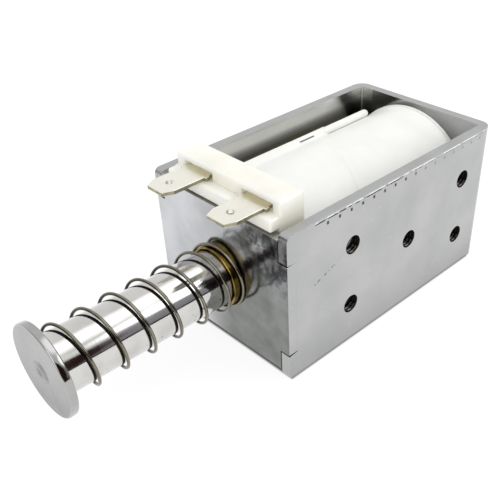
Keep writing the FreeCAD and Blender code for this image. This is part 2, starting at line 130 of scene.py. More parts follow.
def add_node(tree: bpy.types.NodeTree, kind: Kind, *values: Any, stops: Sequence[tuple[float, str]] = (),
             **settings: Any) -> bpy.types.Node:
    """Add one node with its settings and links.

    A value that is a socket is linked, any other is set. Attributes come first, as they decide which inputs are live.

    Args:
        tree: Node tree that takes the node.
        kind: What the node does.
        values: Values of the node's live inputs, in their order.
        stops: Places and hex colours of a ramp.
        settings: Attributes and inputs by name, with underscores for blanks.

    Returns:
        The new node.
    """
    node = tree.nodes.new("ShaderNode" + kind.value[0])
    named = {}
    for name, value in {**dict(kind.value[1:]), **settings}.items():
        if hasattr(node, name):
            setattr(node, name, value)
        else:
            named[node.inputs[name.replace("_", " ")]] = value
    live = [socket for socket in node.inputs if socket.enabled]
    for socket, value in [*zip(live, values), *named.items()]:
        if isinstance(value, Socket):
            tree.links.new(value, socket)
        else:
            socket.default_value = value
    for index, (place, code) in enumerate(stops):
        if index >= len(node.color_ramp.elements):
            node.color_ramp.elements.new(1.0)
        node.color_ramp.elements[index].position = place
        node.color_ramp.elements[index].color = linear(code)
    return node


def live_output(node: bpy.types.Node) -> Socket:
    """The first output that the node's settings leave in use."""
    return next(socket for socket in node.outputs if socket.enabled)


def per_mm(size: float) -> float:
    """Texture scale whose features are about size millimetres wide."""
    return 1.0 / (size * MM)


class Surface:
    """One material under construction: its tree, its shader and the object's own coordinates."""

    def __init__(self, name: str) -> None:
        """Start an empty material.

        Args:
            name: Name of the real material and how it was made.
        """
        self.material = bpy.data.materials.new(name)
        self.material.use_nodes = True
        self.tree = self.material.node_tree
        self.tree.nodes.clear()
        self.shader = add_node(self.tree, Kind.SHADER)
        add_node(self.tree, Kind.SURFACE, self.shader.outputs[0])
        self.place = add_node(self.tree, Kind.PLACE).outputs["Object"]
        self.along, self.across, self.up = add_node(self.tree, Kind.AXES, self.place).outputs

    def add(self, kind: Kind, *values: Any, **settings: Any) -> Socket:
        """Add a node to this material and give its output."""
        return live_output(add_node(self.tree, kind, *values, **settings))

    def stripe(self, value: Socket, middle: float, edges: Point) -> Socket:
        """Mark a stripe.

        Args:
            value: What is measured, in metres.
            middle: Its value at the middle of the stripe, in millimetres.
            edges: Distances from the middle at which the stripe starts to fade and is gone, in millimetres.

        Returns:
            One on the stripe and zero beside it.
        """
        away = self.add(Kind.ABSOLUTE, self.add(Kind.SUBTRACT, value, middle * MM))
        return self.add(Kind.RANGE, away, edges[0] * MM, edges[1] * MM, 1.0, 0.0)

    def between(self, value: Socket, low: float, high: float) -> Socket:
        """Mark where a value in metres lies between two sizes in millimetres."""
        return self.add(Kind.MULTIPLY, self.add(Kind.GREATER, value, low * MM), self.add(Kind.LESS, value, high * MM))

    def dress(self, **values: Any) -> bpy.types.Material:
        """Finish the shader.

        Args:
            values: Sockets or plain values for the shader's own inputs, with underscores for blanks.

        Returns:
            The finished material.
        """
        for name, value in values.items():
            socket = self.shader.inputs[name.replace("_", " ")]
            if isinstance(value, Socket):
                self.tree.links.new(value, socket)
            else:
                socket.default_value = value
        return self.material


# Finishes
@dataclass(frozen=True)
class Mark(ABC):
    """A mark on a finish: its colour, and in each kind of mark where it lies."""

    colour: str

    @abstractmethod
    def share(self, surface: Surface) -> Socket:
        """Tell how strongly the mark covers each place.

        Args:
            surface: Material under construction.

        Returns:
            The share from 0 to 1.
        """

    def over(self, surface: Surface, colour: Socket) -> Socket:
        """Lay the mark over a colour.

        Args:
            surface: Material under construction.
            colour: Colour below.

        Returns:
            The colour with the mark.
        """
        return surface.add(Kind.BLEND, self.share(surface), colour, linear(self.colour))


@dataclass(frozen=True)
class FootShade(Mark):
    """Painted shade that darkens the walls towards their lower edge."""

    colour: str = "#868686"
    rise: Point = (11.0, 0.0)
    most: float = 0.4

    def share(self, surface: Surface) -> Socket:
        """Darken downwards.

        Args:
            surface: Material under construction.

        Returns:
            The share from 0 to 1.
        """
        start, end = self.rise
        return surface.add(Kind.RANGE, surface.up, start * MM, end * MM, 0.0, self.most)


@dataclass(frozen=True)
class FeedMarks(Mark):
    """Row of dents that the press feed left on the right wall, the broken line above it and one scratch below."""

    colour: str = "#2E2F33"
    start: float = 10.06
    end: float = 31.85
    fade: float = 8.0
    rise: float = 30.6
    pitch: float = 3.11
    dent_width: Point = (0.16, 0.36)
    dent_height: Point = (0.2, 0.42)
    line_rise: float = 31.45
    line_start: float = 6.66
    line_width: Point = (0.09, 0.18)
    line_gaps: float = 1.0
    scratch: tuple[Point, Point] = ((6.72, 18.87), (13.33, 21.20))  # both ends, as distance and height
    scratch_width: Point = (0.1, 0.2)
    scratch_gaps: float = 0.9

    def share(self, surface: Surface) -> Socket:
        """Draw the dents, the line and the scratch.

        Args:
            surface: Material under construction.

        Returns:
            The share from 0 to 1.
        """
        behind = surface.add(Kind.SUBTRACT, surface.along, FRONT_X * MM)
        fading = surface.add(Kind.RANGE, behind, self.end * MM, (self.end + self.fade) * MM, 1.0, 0.35)
        marks = surface.add(Kind.LARGER, self.dents(surface, behind, fading), self.line(surface, behind, fading))
        marks = surface.add(Kind.LARGER, marks, self.scratched(surface, behind))
        return surface.add(Kind.MULTIPLY, marks, surface.add(Kind.LESS, surface.across, RIGHT_FACE * MM))

    def dents(self, surface: Surface, behind: Socket, fading: Socket) -> Socket:
        """Repeat one dent at every step of the feed.

        Args:
            surface: Material under construction.
            behind: Distance behind the front face.
            fading: How strongly the feed pressed at that distance.

        Returns:
            Share of the dents, from 0 to 1.
        """
        shifted = surface.add(Kind.ADD, behind, (self.pitch * 4.5 - self.start) * MM)
        beside = surface.add(Kind.REMAINDER, shifted, self.pitch * MM)
        wide = surface.stripe(beside, self.pitch / 2, self.dent_width)
        high = surface.stripe(surface.up, self.rise, self.dent_height)
        reach = surface.add(Kind.MULTIPLY, surface.add(Kind.GREATER, behind, (self.start - 1) * MM), fading)
        return surface.add(Kind.MULTIPLY, surface.add(Kind.MULTIPLY, wide, high), reach)

    def line(self, surface: Surface, behind: Socket, fading: Socket) -> Socket:
        """Draw the broken line above the dents.

        Args:
            surface: Material under construction.
            behind: Distance behind the front face.
            fading: How strongly the feed pressed at that distance.

        Returns:
            Share of the line, from 0 to 1.
        """
        line = surface.stripe(surface.up, self.line_rise, self.line_width)
        reach = surface.add(Kind.MULTIPLY, surface.add(Kind.GREATER, behind, self.line_start * MM), fading)
        gaps = surface.add(Kind.NOISE, surface.place, per_mm(self.line_gaps), 1.0)
        broken = surface.add(Kind.RANGE, gaps, 0.44, 0.5, 0.0, 1.0)
        return surface.add(Kind.MULTIPLY, surface.add(Kind.MULTIPLY, line, reach), broken)

    def scratched(self, surface: Surface, behind: Socket) -> Socket:
        """Draw the slanting scratch.

        Args:
            surface: Material under construction.
            behind: Distance behind the front face.

        Returns:
            Share of the scratch, from 0 to 1.
        """
        (low_x, low_z), (high_x, high_z) = self.scratch
        slope = (high_z - low_z) / (high_x - low_x)
        climb = surface.add(Kind.MULTIPLY, surface.add(Kind.SUBTRACT, behind, low_x * MM), slope)
        beside = surface.add(Kind.SUBTRACT, surface.up, climb)
        thin = surface.stripe(beside, low_z, self.scratch_width)
        gaps = surface.add(Kind.NOISE, surface.place, per_mm(self.scratch_gaps), 1.0)
        broken = surface.add(Kind.RANGE, gaps, 0.46, 0.54, 0.0, 0.8)
        within = surface.between(behind, low_x, high_x)
        return surface.add(Kind.MULTIPLY, surface.add(Kind.MULTIPLY, thin, within), broken)


@dataclass(frozen=True)
class PaintedEdgeHighlight(Mark):
    """Painted highlight: a bright broken line along the right wall's upper edge."""

    colour: str = "#FFFFFF"
    start: float = 6.06
    rise: float = 31.68
    width: Point = (0.07, 0.13)
    gaps: float = 1.9

    def share(self, surface: Surface) -> Socket:
        """Draw the line.

        Args:
            surface: Material under construction.

        Returns:
            The share from 0 to 1.
        """
        line = surface.stripe(surface.up, self.rise, self.width)
        reach = surface.add(Kind.MULTIPLY, surface.add(Kind.GREATER, surface.along, (self.start + FRONT_X) * MM),
                            surface.add(Kind.LESS, surface.across, RIGHT_FACE * MM))
        gaps = surface.add(Kind.NOISE, surface.place, per_mm(self.gaps), 1.0)
        broken = surface.add(Kind.RANGE, gaps, 0.42, 0.52, 0.1, 1.0)
        return surface.add(Kind.MULTIPLY, surface.add(Kind.MULTIPLY, line, reach), broken)


@dataclass(frozen=True)
class PaintedEndReflection(Mark):
    """Painted dark reflection on the front end of the right wall, level with the one painted on the front plate."""

    colour: str = "#26292D"
    depth: float = 0.3
    side: float = -10.0
    rise: Point = (20.0, 25.0)
    patch: float = 1.7

    def share(self, surface: Surface) -> Socket:
        """Darken the upper part of the end.

        Args:
            surface: Material under construction.

        Returns:
            The share from 0 to 1.
        """
        end = surface.add(Kind.MULTIPLY, surface.add(Kind.LESS, surface.along, (FRONT_X + self.depth) * MM),
                          surface.add(Kind.LESS, surface.across, self.side * MM))
        low, high = self.rise
        upper = surface.add(Kind.MULTIPLY, end, surface.add(Kind.RANGE, surface.up, low * MM, high * MM, 0.0, 1.0))
        patches = surface.add(Kind.NOISE, surface.place, per_mm(self.patch), 2.0)
        return surface.add(Kind.MULTIPLY, upper, surface.add(Kind.RANGE, patches, 0.35, 0.6, 0.3, 0.95))


@dataclass(frozen=True)
class InnerReflectionBand(Mark):
    """Band of painted reflection along the inside of the left wall."""

    rise: Point
    most: float
    inner_half: float = 16.3
    left_side: float = 13.0
    rear: float = 59.4

    def share(self, surface: Surface) -> Socket:
        """Lay the band along the inside.

        Args:
            surface: Material under construction.

        Returns:
            The share from 0 to 1.
        """
        start, end = self.rise
        left = surface.between(surface.across, self.left_side, self.inner_half)
        inside = surface.add(Kind.MULTIPLY, left, surface.add(Kind.LESS, surface.along, (self.rear + FRONT_X) * MM))
        return surface.add(Kind.MULTIPLY, inside,
                           surface.add(Kind.RANGE, surface.up, start * MM, end * MM, 0.0, self.most))


@dataclass(frozen=True)
class CornerShade(Mark):
    """Painted shade inside the rear left corner."""

    colour: str = "#6E6E6E"
    depth: Point = (46.0, 52.0)  # from and to, as in side and rise
    side: Point = (-3.0, 6.0)
    rise: Point = (31.6, 30.4)
    most: float = 0.35
    inner_half: float = 16.3
    rear: float = 59.4

    def share(self, surface: Surface) -> Socket:
        """Darken towards the corner, below the top edge.

        Args:
            surface: Material under construction.

        Returns:
            The share from 0 to 1.
        """
        (front, back), (right, left), (top, below) = self.depth, self.side, self.rise
        corner = surface.add(Kind.MULTIPLY, surface.add(Kind.RANGE, surface.along, (front + FRONT_X) * MM,
                                                        (back + FRONT_X) * MM, 0.0, self.most),
                             surface.add(Kind.RANGE, surface.across, right * MM, left * MM, 0.0, 1.0))
        corner = surface.add(Kind.MULTIPLY, corner,
                             surface.add(Kind.RANGE, surface.up, top * MM, below * MM, 0.0, 1.0))
        inside = surface.add(Kind.MULTIPLY, surface.between(surface.across, -self.inner_half, self.inner_half),
                             surface.add(Kind.LESS, surface.along, (self.rear + FRONT_X) * MM))
        return surface.add(Kind.MULTIPLY, corner, inside)


@dataclass(frozen=True)
class MattRear:
    """Matt part of the inner rear wall, where the strip was worked least."""

    depth: Point = (58.6, 59.35)
    side: Point = (3.0, -3.0)
    inner_half: float = 16.3
    most: float = 0.85

    def bright(self, surface: Surface) -> Socket:
        """Tell where the plating still shines like bare metal.

        Args:
            surface: Material under construction.

        Returns:
            One on bright plating, less on the matt part.
        """
        (front, back), (left, right) = self.depth, self.side
        rear = surface.between(surface.along, front + FRONT_X, back + FRONT_X)
        part = surface.add(Kind.MULTIPLY,
                           surface.add(Kind.RANGE, surface.across, left * MM, right * MM, 0.0, self.most),
                           surface.add(Kind.GREATER, surface.across, -self.inner_half * MM))
        return surface.add(Kind.SUBTRACT, 1.0, surface.add(Kind.MULTIPLY, rear, part))


@dataclass(frozen=True)
class ZincPlate:
    """Cold rolled steel, stamped, bent and zinc plated: a soft grey mirror with cloudy patches."""

    name: str
    light: str = "#BCBCBC"
    dark: str = "#AFB0B0"
    roughness: Point = (0.16, 0.36)
    cloud: float = 14.0
    marks: tuple[Mark, ...] = ()
    matt: MattRear | None = None
    speck: str = "#F4F6F8"
    speck_pitch: float = 2.2
    grit: float = 0.35
    grit_depth: float = 0.0012
    wave: float = 7.0
    wave_depth: float = 0.02

    def build(self) -> bpy.types.Material:
        """Make the material.

        Returns:
            The finished material.
        """
        surface = Surface(self.name)
        clouds = surface.add(Kind.NOISE, surface.place, per_mm(self.cloud), 4.0, 0.55)
        colour = surface.add(Kind.RAMP, clouds, stops=[(0.35, self.dark), (0.65, self.light)])
        # Large zinc crystals glint as pin-head specks
        specks = surface.add(Kind.CELLS, surface.place, per_mm(self.speck_pitch))
        glint = surface.add(Kind.RANGE, specks, 0.0, 0.08, 0.6, 0.0)
        colour = surface.add(Kind.BLEND, glint, colour, linear(self.speck))
        for mark in self.marks:
            colour = mark.over(surface, colour)
        # The strip is slightly wavy from the rolls. Its grit is really finer than 0.05 mm, drawn coarser to show
        waves = surface.add(Kind.BUMP, Height=surface.add(Kind.NOISE, surface.place, per_mm(self.wave), 2.0),
                            Distance=self.wave_depth * MM)
        grit = surface.add(Kind.NOISE, surface.place, per_mm(self.grit), 2.0, 0.6)
        return surface.dress(Base_Color=colour, Metallic=self.matt.bright(surface) if self.matt else 1.0,
                             Roughness=surface.add(Kind.RANGE, clouds, 0.3, 0.7, *self.roughness),
                             Normal=surface.add(Kind.BUMP, Height=grit, Distance=self.grit_depth * MM, Normal=waves))


@dataclass(frozen=True)
class PlateWithPaintedReflection:
    """Zinc plated plate: clearer mirror than the yoke, with painted reflection: the shaded table darkens its right
    side, most towards the bottom, and dark patches lie in its upper right.
    """

    name: str = "steel_zinc_plated_painted_reflection"
    light: str = "#CDCED1"
    dark: str = "#B7B9BC"
    cloud: float = 9.0
    reflected_shade: str = "#62665F"
    reflected_shade_side: Point = (7.0, -2.0)
    reflected_shade_rise: Point = (24.0, 16.0)
    reflected_shade_patch: float = 4.0
    reflected_dark: str = "#33363A"
    reflected_dark_side: Point = (-4.0, -10.0)
    reflected_dark_rise: Point = (17.0, 23.0)
    reflected_dark_patch: float = 1.7
    roughness: Point = (0.1, 0.2)
    wave: float = 2.6
    wave_depth: float = 0.04

    def build(self) -> bpy.types.Material:
        """Make the material.

        Returns:
            The finished material.
        """
        surface = Surface(self.name)
        clouds = surface.add(Kind.NOISE, surface.place, per_mm(self.cloud), 3.0)
        colour = surface.add(Kind.RAMP, clouds, stops=[(0.35, self.dark), (0.65, self.light)])
        # Painted reflection of the shaded table over the right side, strongest low down
        left, right = self.reflected_shade_side
        high, low = self.reflected_shade_rise
        patches = surface.add(Kind.NOISE, surface.place, per_mm(self.reflected_shade_patch), 3.0)
        share = surface.add(Kind.MULTIPLY, surface.add(Kind.RANGE, surface.across, left * MM, right * MM, 0.0, 0.9),
                            surface.add(Kind.RANGE, patches, 0.3, 0.7, 0.8, 1.0))
        share = surface.add(Kind.MULTIPLY, share, surface.add(Kind.RANGE, surface.up, high * MM, low * MM, 0.45, 1.0))
        colour = surface.add(Kind.BLEND, share, colour, linear(self.reflected_shade))
        # Painted dark reflection in patches on the upper right
        left, right = self.reflected_dark_side
        low, high = self.reflected_dark_rise
        above = surface.add(Kind.MULTIPLY, surface.add(Kind.RANGE, surface.up, low * MM, high * MM, 0.0, 1.0),
                            surface.add(Kind.RANGE, surface.across, left * MM, right * MM, 0.0, 1.0))
        patches = surface.add(Kind.NOISE, surface.place, per_mm(self.reflected_dark_patch), 3.0, 0.6)
        share = surface.add(Kind.MULTIPLY, above, surface.add(Kind.RANGE, patches, 0.42, 0.56, 0.3, 0.85))
        waves = surface.add(Kind.NOISE, surface.place, per_mm(self.wave), 2.0)
        return surface.dress(Base_Color=surface.add(Kind.BLEND, share, colour, linear(self.reflected_dark)), Metallic=1.0,
                             Roughness=surface.add(Kind.RANGE, clouds, 0.3, 0.7, *self.roughness),
                             Normal=surface.add(Kind.BUMP, Height=waves, Distance=self.wave_depth * MM))


@dataclass(frozen=True)
class TurnedChrome:
    """Steel turned to size and bright plated: a clear mirror with faint rings round its axis."""

    name: str
    light: str = "#D2D1CE"
    dark: str = "#C2C1BF"
    roughness: Point = (0.05, 0.14)
    smear: float = 3.5
    groove: float = 0.5
    groove_depth: float = 0.002
    pit: str = "#55473C"
    pit_pitch: float = 1.4
    pit_rise: Point = (16.0, 15.4)

    def build(self) -> bpy.types.Material:
        """Make the material.

        Returns:
            The finished material.
        """
        surface = Surface(self.name)
        smears = surface.add(Kind.NOISE, surface.place, per_mm(self.smear), 3.0)
        colour = surface.add(Kind.RAMP, smears, stops=[(0.2, self.dark), (0.6, self.light)])
        # Pin-head pits in the plating of the underside, a few in each square centimetre
        high, low = self.pit_rise
        pits = surface.add(Kind.CELLS, surface.place, per_mm(self.pit_pitch))
        share = surface.add(Kind.MULTIPLY, surface.add(Kind.RANGE, pits, 0.1, 0.2, 0.8, 0.0),
                            surface.add(Kind.RANGE, surface.up, high * MM, low * MM, 0.0, 1.0))
        # The tool's feed leaves rings about 0.1 mm apart, drawn coarser to show
        rings = surface.add(Kind.STREAKS, surface.along, per_mm(self.groove), 3.0)
        return surface.dress(Base_Color=surface.add(Kind.BLEND, share, colour, linear(self.pit)), Metallic=1.0,
                             Roughness=surface.add(Kind.RANGE, smears, 0.35, 0.75, *self.roughness),
                             Normal=surface.add(Kind.BUMP, Height=rings, Distance=self.groove_depth * MM))


@dataclass(frozen=True)
class PlainMetal:
    """Metal with a colour that drifts a little and a fine grain of its own, drawn coarser than it is to show."""

    name: str
    light: str
    dark: str
    roughness: Point = (0.15, 0.3)
    drift: float = 2.0
    grain: float = 0.2
    grain_depth: float = 0.004

    def build(self) -> bpy.types.Material:
        """Make the material.

        Returns:
            The finished material.
        """
        surface = Surface(self.name)
        drift = surface.add(Kind.NOISE, surface.place, per_mm(self.drift), 3.0)
        grain = surface.add(Kind.NOISE, surface.place, per_mm(self.grain), 2.0)
        return surface.dress(Base_Color=surface.add(Kind.RAMP, drift, stops=[(0.3, self.dark), (0.7, self.light)]),
                             Roughness=surface.add(Kind.RANGE, drift, 0.3, 0.7, *self.roughness), Metallic=1.0,
                             Normal=surface.add(Kind.BUMP, Height=grain, Distance=self.grain_depth * MM))


@dataclass(frozen=True)
class StampedHead:
    """Chrome plated sheet steel, stamped: satin grey, darker in patches towards its lower half."""

    name: str = "steel_chrome_stamped"
    light: str = "#AAAAAA"
    dark: str = "#989898"
    drift: float = 6.0
    lower_dark: str = "#727272"
    lower_dark_rise: Point = (19.0, 9.5)
    lower_dark_patch: float = 5.0
    roughness: Point = (0.2, 0.3)
    grain: float = 0.3
    grain_depth: float = 0.003

    def build(self) -> bpy.types.Material:
        """Make the material.

        Returns:
            The finished material.
        """
        surface = Surface(self.name)
        drift = surface.add(Kind.NOISE, surface.place, per_mm(self.drift), 3.0)
        colour = surface.add(Kind.RAMP, drift, stops=[(0.35, self.dark), (0.65, self.light)])
        high, low = self.lower_dark_rise
        patches = surface.add(Kind.NOISE, surface.place, per_mm(self.lower_dark_patch), 2.0)
        share = surface.add(Kind.MULTIPLY, surface.add(Kind.RANGE, surface.up, high * MM, low * MM, 0.0, 0.75),
                            surface.add(Kind.RANGE, patches, 0.35, 0.65, 0.5, 1.0))
        # The die's texture is finer than 0.1 mm, drawn coarser to show
        grain = surface.add(Kind.NOISE, surface.place, per_mm(self.grain), 2.0)
        return surface.dress(Base_Color=surface.add(Kind.BLEND, share, colour, linear(self.lower_dark)), Metallic=1.0,
                             Roughness=surface.add(Kind.RANGE, drift, 0.3, 0.7, *self.roughness),
                             Normal=surface.add(Kind.BUMP, Height=grain, Distance=self.grain_depth * MM))


@dataclass(frozen=True)
class SpringWire:
    """Nickel plated spring wire, coiled, with painted shade: light along the outside of the coils, dark inside towards
    the axis.
    """

    name: str = "spring_wire_nickel_plated"
    light: str = "#8E8979"
    dark: str = "#34312A"
    less_shaded: Point = (6.48, 6.78)
    shade_patch: float = 1.5
    roughness: Point = (0.22, 0.1)
    grain: float = 0.2
    grain_depth: float = 0.003

    def build(self) -> bpy.types.Material:
        """Make the material.

        Returns:
            The finished material.
        """
        surface = Surface(self.name)
        # Painted shade: dark nearer the axis, light on the outside of the coils
        rise = surface.add(Kind.SUBTRACT, surface.up, AXIS_Z * MM)
        square = surface.add(Kind.ADD, surface.add(Kind.MULTIPLY, surface.across, surface.across),
                             surface.add(Kind.MULTIPLY, rise, rise))
        away = surface.add(Kind.ROOT, square)
        inner, outer = self.less_shaded
        patches = surface.add(Kind.NOISE, surface.place, per_mm(self.shade_patch), 2.0)
        share = surface.add(Kind.MULTIPLY, surface.add(Kind.RANGE, away, inner * MM, outer * MM, 0.0, 1.0),
                            surface.add(Kind.RANGE, patches, 0.3, 0.7, 0.75, 1.0))
        # Drawing lines of the wire, drawn coarser to show
        grain = surface.add(Kind.NOISE, surface.place, per_mm(self.grain), 2.0)
        return surface.dress(Base_Color=surface.add(Kind.RAMP, share, stops=[(0.0, self.dark), (1.0, self.light)]),
                             Roughness=surface.add(Kind.RANGE, share, 0.0, 1.0, *self.roughness), Metallic=1.0,
                             Normal=surface.add(Kind.BUMP, Height=grain, Distance=self.grain_depth * MM))


@dataclass(frozen=True)
class MouldedNylon:
    """Natural nylon, moulded: milky white that glows a little; a yellower copy stands as painted shade inside the blade
    recesses.
    """

    name: str = "nylon_natural_moulded"
    light: str = "#F9F8F0"
    dark: str = "#F2EFE2"
    flow: float = 7.0
    roughness: Point = (0.34, 0.46)
    skin: float = 0.5
    skin_depth: float = 0.006
    glow: float = 0.6
    glow_depth: float = 3.0
    glow_colour: Place = (1.0, 0.9, 0.7)
    ior: float = 1.53

    def build(self) -> bpy.types.Material:
        """Make the material.

        Returns:
            The finished material.
        """
        surface = Surface(self.name)
        flow = surface.add(Kind.NOISE, surface.place, per_mm(self.flow), 2.0)
        skin = surface.add(Kind.NOISE, surface.place, per_mm(self.skin), 2.0)
        return surface.dress(Base_Color=surface.add(Kind.RAMP, flow, stops=[(0.3, self.dark), (0.7, self.light)]),
                             Roughness=surface.add(Kind.RANGE, flow, 0.3, 0.7, *self.roughness),
                             Normal=surface.add(Kind.BUMP, Height=skin, Distance=self.skin_depth * MM),
                             Subsurface_Weight=self.glow, Subsurface_Scale=self.glow_depth * MM,
                             Subsurface_Radius=self.glow_colour, IOR=self.ior)


@dataclass(frozen=True)
class SmoothPlastic:
    """White or black plastic, rubber or film with a fine skin."""

    name: str
    light: str
    dark: str
    roughness: Point = (0.35, 0.5)
    skin: float = 0.4
    skin_depth: float = 0.004
    drift: float = 5.0
    ior: float = 1.5

    def build(self) -> bpy.types.Material:
        """Make the material.

        Returns:
            The finished material.
        """
        surface = Surface(self.name)
        drift = surface.add(Kind.NOISE, surface.place, per_mm(self.drift), 2.0)
        skin = surface.add(Kind.NOISE, surface.place, per_mm(self.skin), 2.0)
        return surface.dress(Base_Color=surface.add(Kind.RAMP, drift, stops=[(0.3, self.dark), (0.7, self.light)]),
                             Roughness=surface.add(Kind.RANGE, drift, 0.3, 0.7, *self.roughness), IOR=self.ior,
                             Normal=surface.add(Kind.BUMP, Height=skin, Distance=self.skin_depth * MM))


@dataclass(frozen=True)
class WoundTape:
    """White polyester tape, wound: smooth and bright, with one short dark line painted as the shadow of a slit where it
    crosses the sleeve.
    """

    name: str = "polyester_tape_wound"
    light: str = "#F2F3EF"
    dark: str = "#ECEDE8"
    drift: float = 6.0
    roughness: Point = (0.3, 0.4)
    film: float = 2.0
    film_depth: float = 0.002
    slit_shadow: str = "#47474A"
    slit_shadow_run: Point = (29.9, 34.2)
    slit_shadow_angle: float = 60.6
    slit_shadow_edges: Point = (0.003, 0.007)  # half width in radians

    def build(self) -> bpy.types.Material:
        """Make the material.

        Returns:
            The finished material.
        """
        surface = Surface(self.name)
        drift = surface.add(Kind.NOISE, surface.place, per_mm(self.drift), 2.0)
        colour = surface.add(Kind.RAMP, drift, stops=[(0.3, self.dark), (0.7, self.light)])
        # Painted shadow of the slit: a thin dark line along the ridge over the sleeve
        rise = surface.add(Kind.SUBTRACT, surface.up, AXIS_Z * MM)
        turn = surface.add(Kind.ANGLE, rise, surface.across)
        beside = surface.add(Kind.ABSOLUTE, surface.add(Kind.SUBTRACT, turn, math.radians(self.slit_shadow_angle)))
        start, end = self.slit_shadow_run
        share = surface.add(Kind.MULTIPLY, surface.add(Kind.RANGE, beside, *self.slit_shadow_edges, 1.0, 0.0),
                            surface.between(surface.along, start + FRONT_X, end + FRONT_X))
        film = surface.add(Kind.NOISE, surface.place, per_mm(self.film), 2.0)
        return surface.dress(Base_Color=surface.add(Kind.BLEND, share, colour, linear(self.slit_shadow)),
                             Roughness=surface.add(Kind.RANGE, drift, 0.3, 0.7, *self.roughness),
                             Normal=surface.add(Kind.BUMP, Height=film, Distance=self.film_depth * MM))


class Palette:
    """Every finish of the solenoid, each made once."""

    def __init__(self) -> None:
        """Make all the materials."""
        # Yoke: the plating clouds and the press leaves its marks; painted shade darkens the walls' lower part and the
        # rear left corner, painted reflection bands the inside of the left wall, and a painted highlight lines the
        # right wall's upper edge
        walls = (FootShade(), FeedMarks(), PaintedEdgeHighlight(), InnerReflectionBand("#F6F6F2", (28.2, 29.8), 0.9),
                 InnerReflectionBand("#5C5844", (29.4, 27.0), 0.85), CornerShade())
        self.zinc = ZincPlate("steel_zinc_plated_stamped", roughness=(0.12, 0.24), marks=walls,
                              matt=MattRear()).build()
        # Sheared faces are duller and carry a painted dark reflection on the right wall's front end; burnished edges
        # brighter
        self.cut = ZincPlate("steel_zinc_plated_sheared", "#B7B8B8", "#ABACAC", (0.25, 0.4), 8.0,
                             (PaintedEndReflection(),)).build()
        self.worn = PlainMetal("steel_zinc_plated_worn", "#F2F2F0", "#D4D4D2", (0.1, 0.18), 2.0).build()
        self.plate = PlateWithPaintedReflection().build()
        # Painted shade: the tapped holes are dark throughout, less so on the crests of their lower side
        self.thread = PlainMetal("steel_tapped_painted_shade", "#201E1C", "#0E0D0C", (0.2, 0.35), 0.8).build()
        self.crest = PlainMetal("steel_tapped_painted_light_shade", "#716F6A", "#4C4A46", (0.25, 0.4), 0.8).build()
        # Plunger and head: one clear mirror, one satin disc with a turned rim and a punched middle
        self.chrome = TurnedChrome("steel_chrome_turned").build()
        self.rivet = PlainMetal("steel_chrome_riveted", "#98989A", "#7A7A7E", (0.2, 0.3), 1.5).build()
        self.disc = StampedHead().build()
        self.rim = PlainMetal("steel_chrome_turned_edge", "#B4B4B3", "#A6A6A5", (0.05, 0.1), 3.0).build()
        self.bright = PlainMetal("steel_bright_turned", "#B9B9B8", "#96979A").build()
        self.wire = SpringWire().build()
        # Drawn brass goes brown in streaks; tin plating is creamy and nearly white; its sheared edge shows the brass
        self.brass = PlainMetal("brass_drawn_tube", "#A88E4A", "#463A1A", (0.1, 0.2), 2.4).build()
        self.tin = PlainMetal("brass_tin_plated_stamped", "#F8F6EC", "#F1EFE3", (0.26, 0.36), 5.0, 0.4, 0.002).build()
        self.tin_cut = PlainMetal("brass_tin_plated_sheared", "#B5AF98", "#8F8972", (0.3, 0.4), 1.0).build()
        self.solder = PlainMetal("solder_flowed", "#CFCFCE", "#9FA0A0", (0.15, 0.3), 0.6).build()
        # Enamel makes the wire a deep glossy red brown
        self.copper = PlainMetal("copper_enamelled_wire", "#B5602F", "#7E3A19", (0.2, 0.35), 0.6).build()
        self.nylon = MouldedNylon().build()
        # A yellower copy of the nylon is painted shade inside the blade recesses
        self.pocket = MouldedNylon("nylon_natural_painted_recess_shade", "#FCF8EC", "#F4EEDC").build()
        self.tape = WoundTape().build()
        # Extruded sleeve is soft white, moulded rubber dead black
        self.sleeve = SmoothPlastic("insulating_sleeve_extruded", "#F4F4F1", "#ECECE8").build()
        self.rubber = SmoothPlastic("rubber_moulded", "#262626", "#141414", (0.6, 0.8), 0.3, 0.01).build()


# Mesh helpers
def solid(name: str, points: Sequence[Sequence[float]], faces: Sequence[Sequence[int]]) -> bmesh.types.BMesh:
    """Make an editable mesh from millimetre points measured from the frame's front face.

    Args:
        name: Word for the log when the mesh is empty.
        points: Corners as (along, across, up).
        faces: Corner numbers of each face.

    Returns:
        The mesh, in metres in the shared frame.
    """
    mesh = bmesh.new()
    corners = [mesh.verts.new(((x + FRONT_X) * MM, y * MM, z * MM)) for x, y, z in points]
    for face in faces:
        mesh.faces.new([corners[index] for index in face])
    if not faces:
        LOG.warning("%s has no faces", name)
    return mesh


def lathe(profile: Sequence[Point], segments: int = 128, closed: bool = True,
          centre: Point = (0.0, AXIS_Z)) -> bmesh.types.BMesh:
    """Turn a profile about a line along X.

    Args:
        profile: Points as (along, radius) in millimetres.
        segments: Steps round the axis.
        closed: Whether the last point joins the first.
        centre: Axis as (across, up).

    Returns:
        The turned mesh.
    """
    points = []
    for step in range(segments):
        turn = 2 * math.pi * step / segments
        for along, radius in profile:
            points.append((along, centre[0] + radius * math.cos(turn), centre[1] + radius * math.sin(turn)))
    count = len(profile)
    faces = []
    for step in range(segments):
        following = (step + 1) % segments
        for index in range(count if closed else count - 1):
            after = (index + 1) % count
            faces.append((step * count + index, step * count + after,
                          following * count + after, following * count + index))
    mesh = solid("turned piece", points, faces)
    bmesh.ops.remove_doubles(mesh, verts=mesh.verts, dist=1e-7)
    bmesh.ops.dissolve_degenerate(mesh, edges=mesh.edges, dist=1e-8)
    bmesh.ops.recalc_face_normals(mesh, faces=mesh.faces)
    return mesh


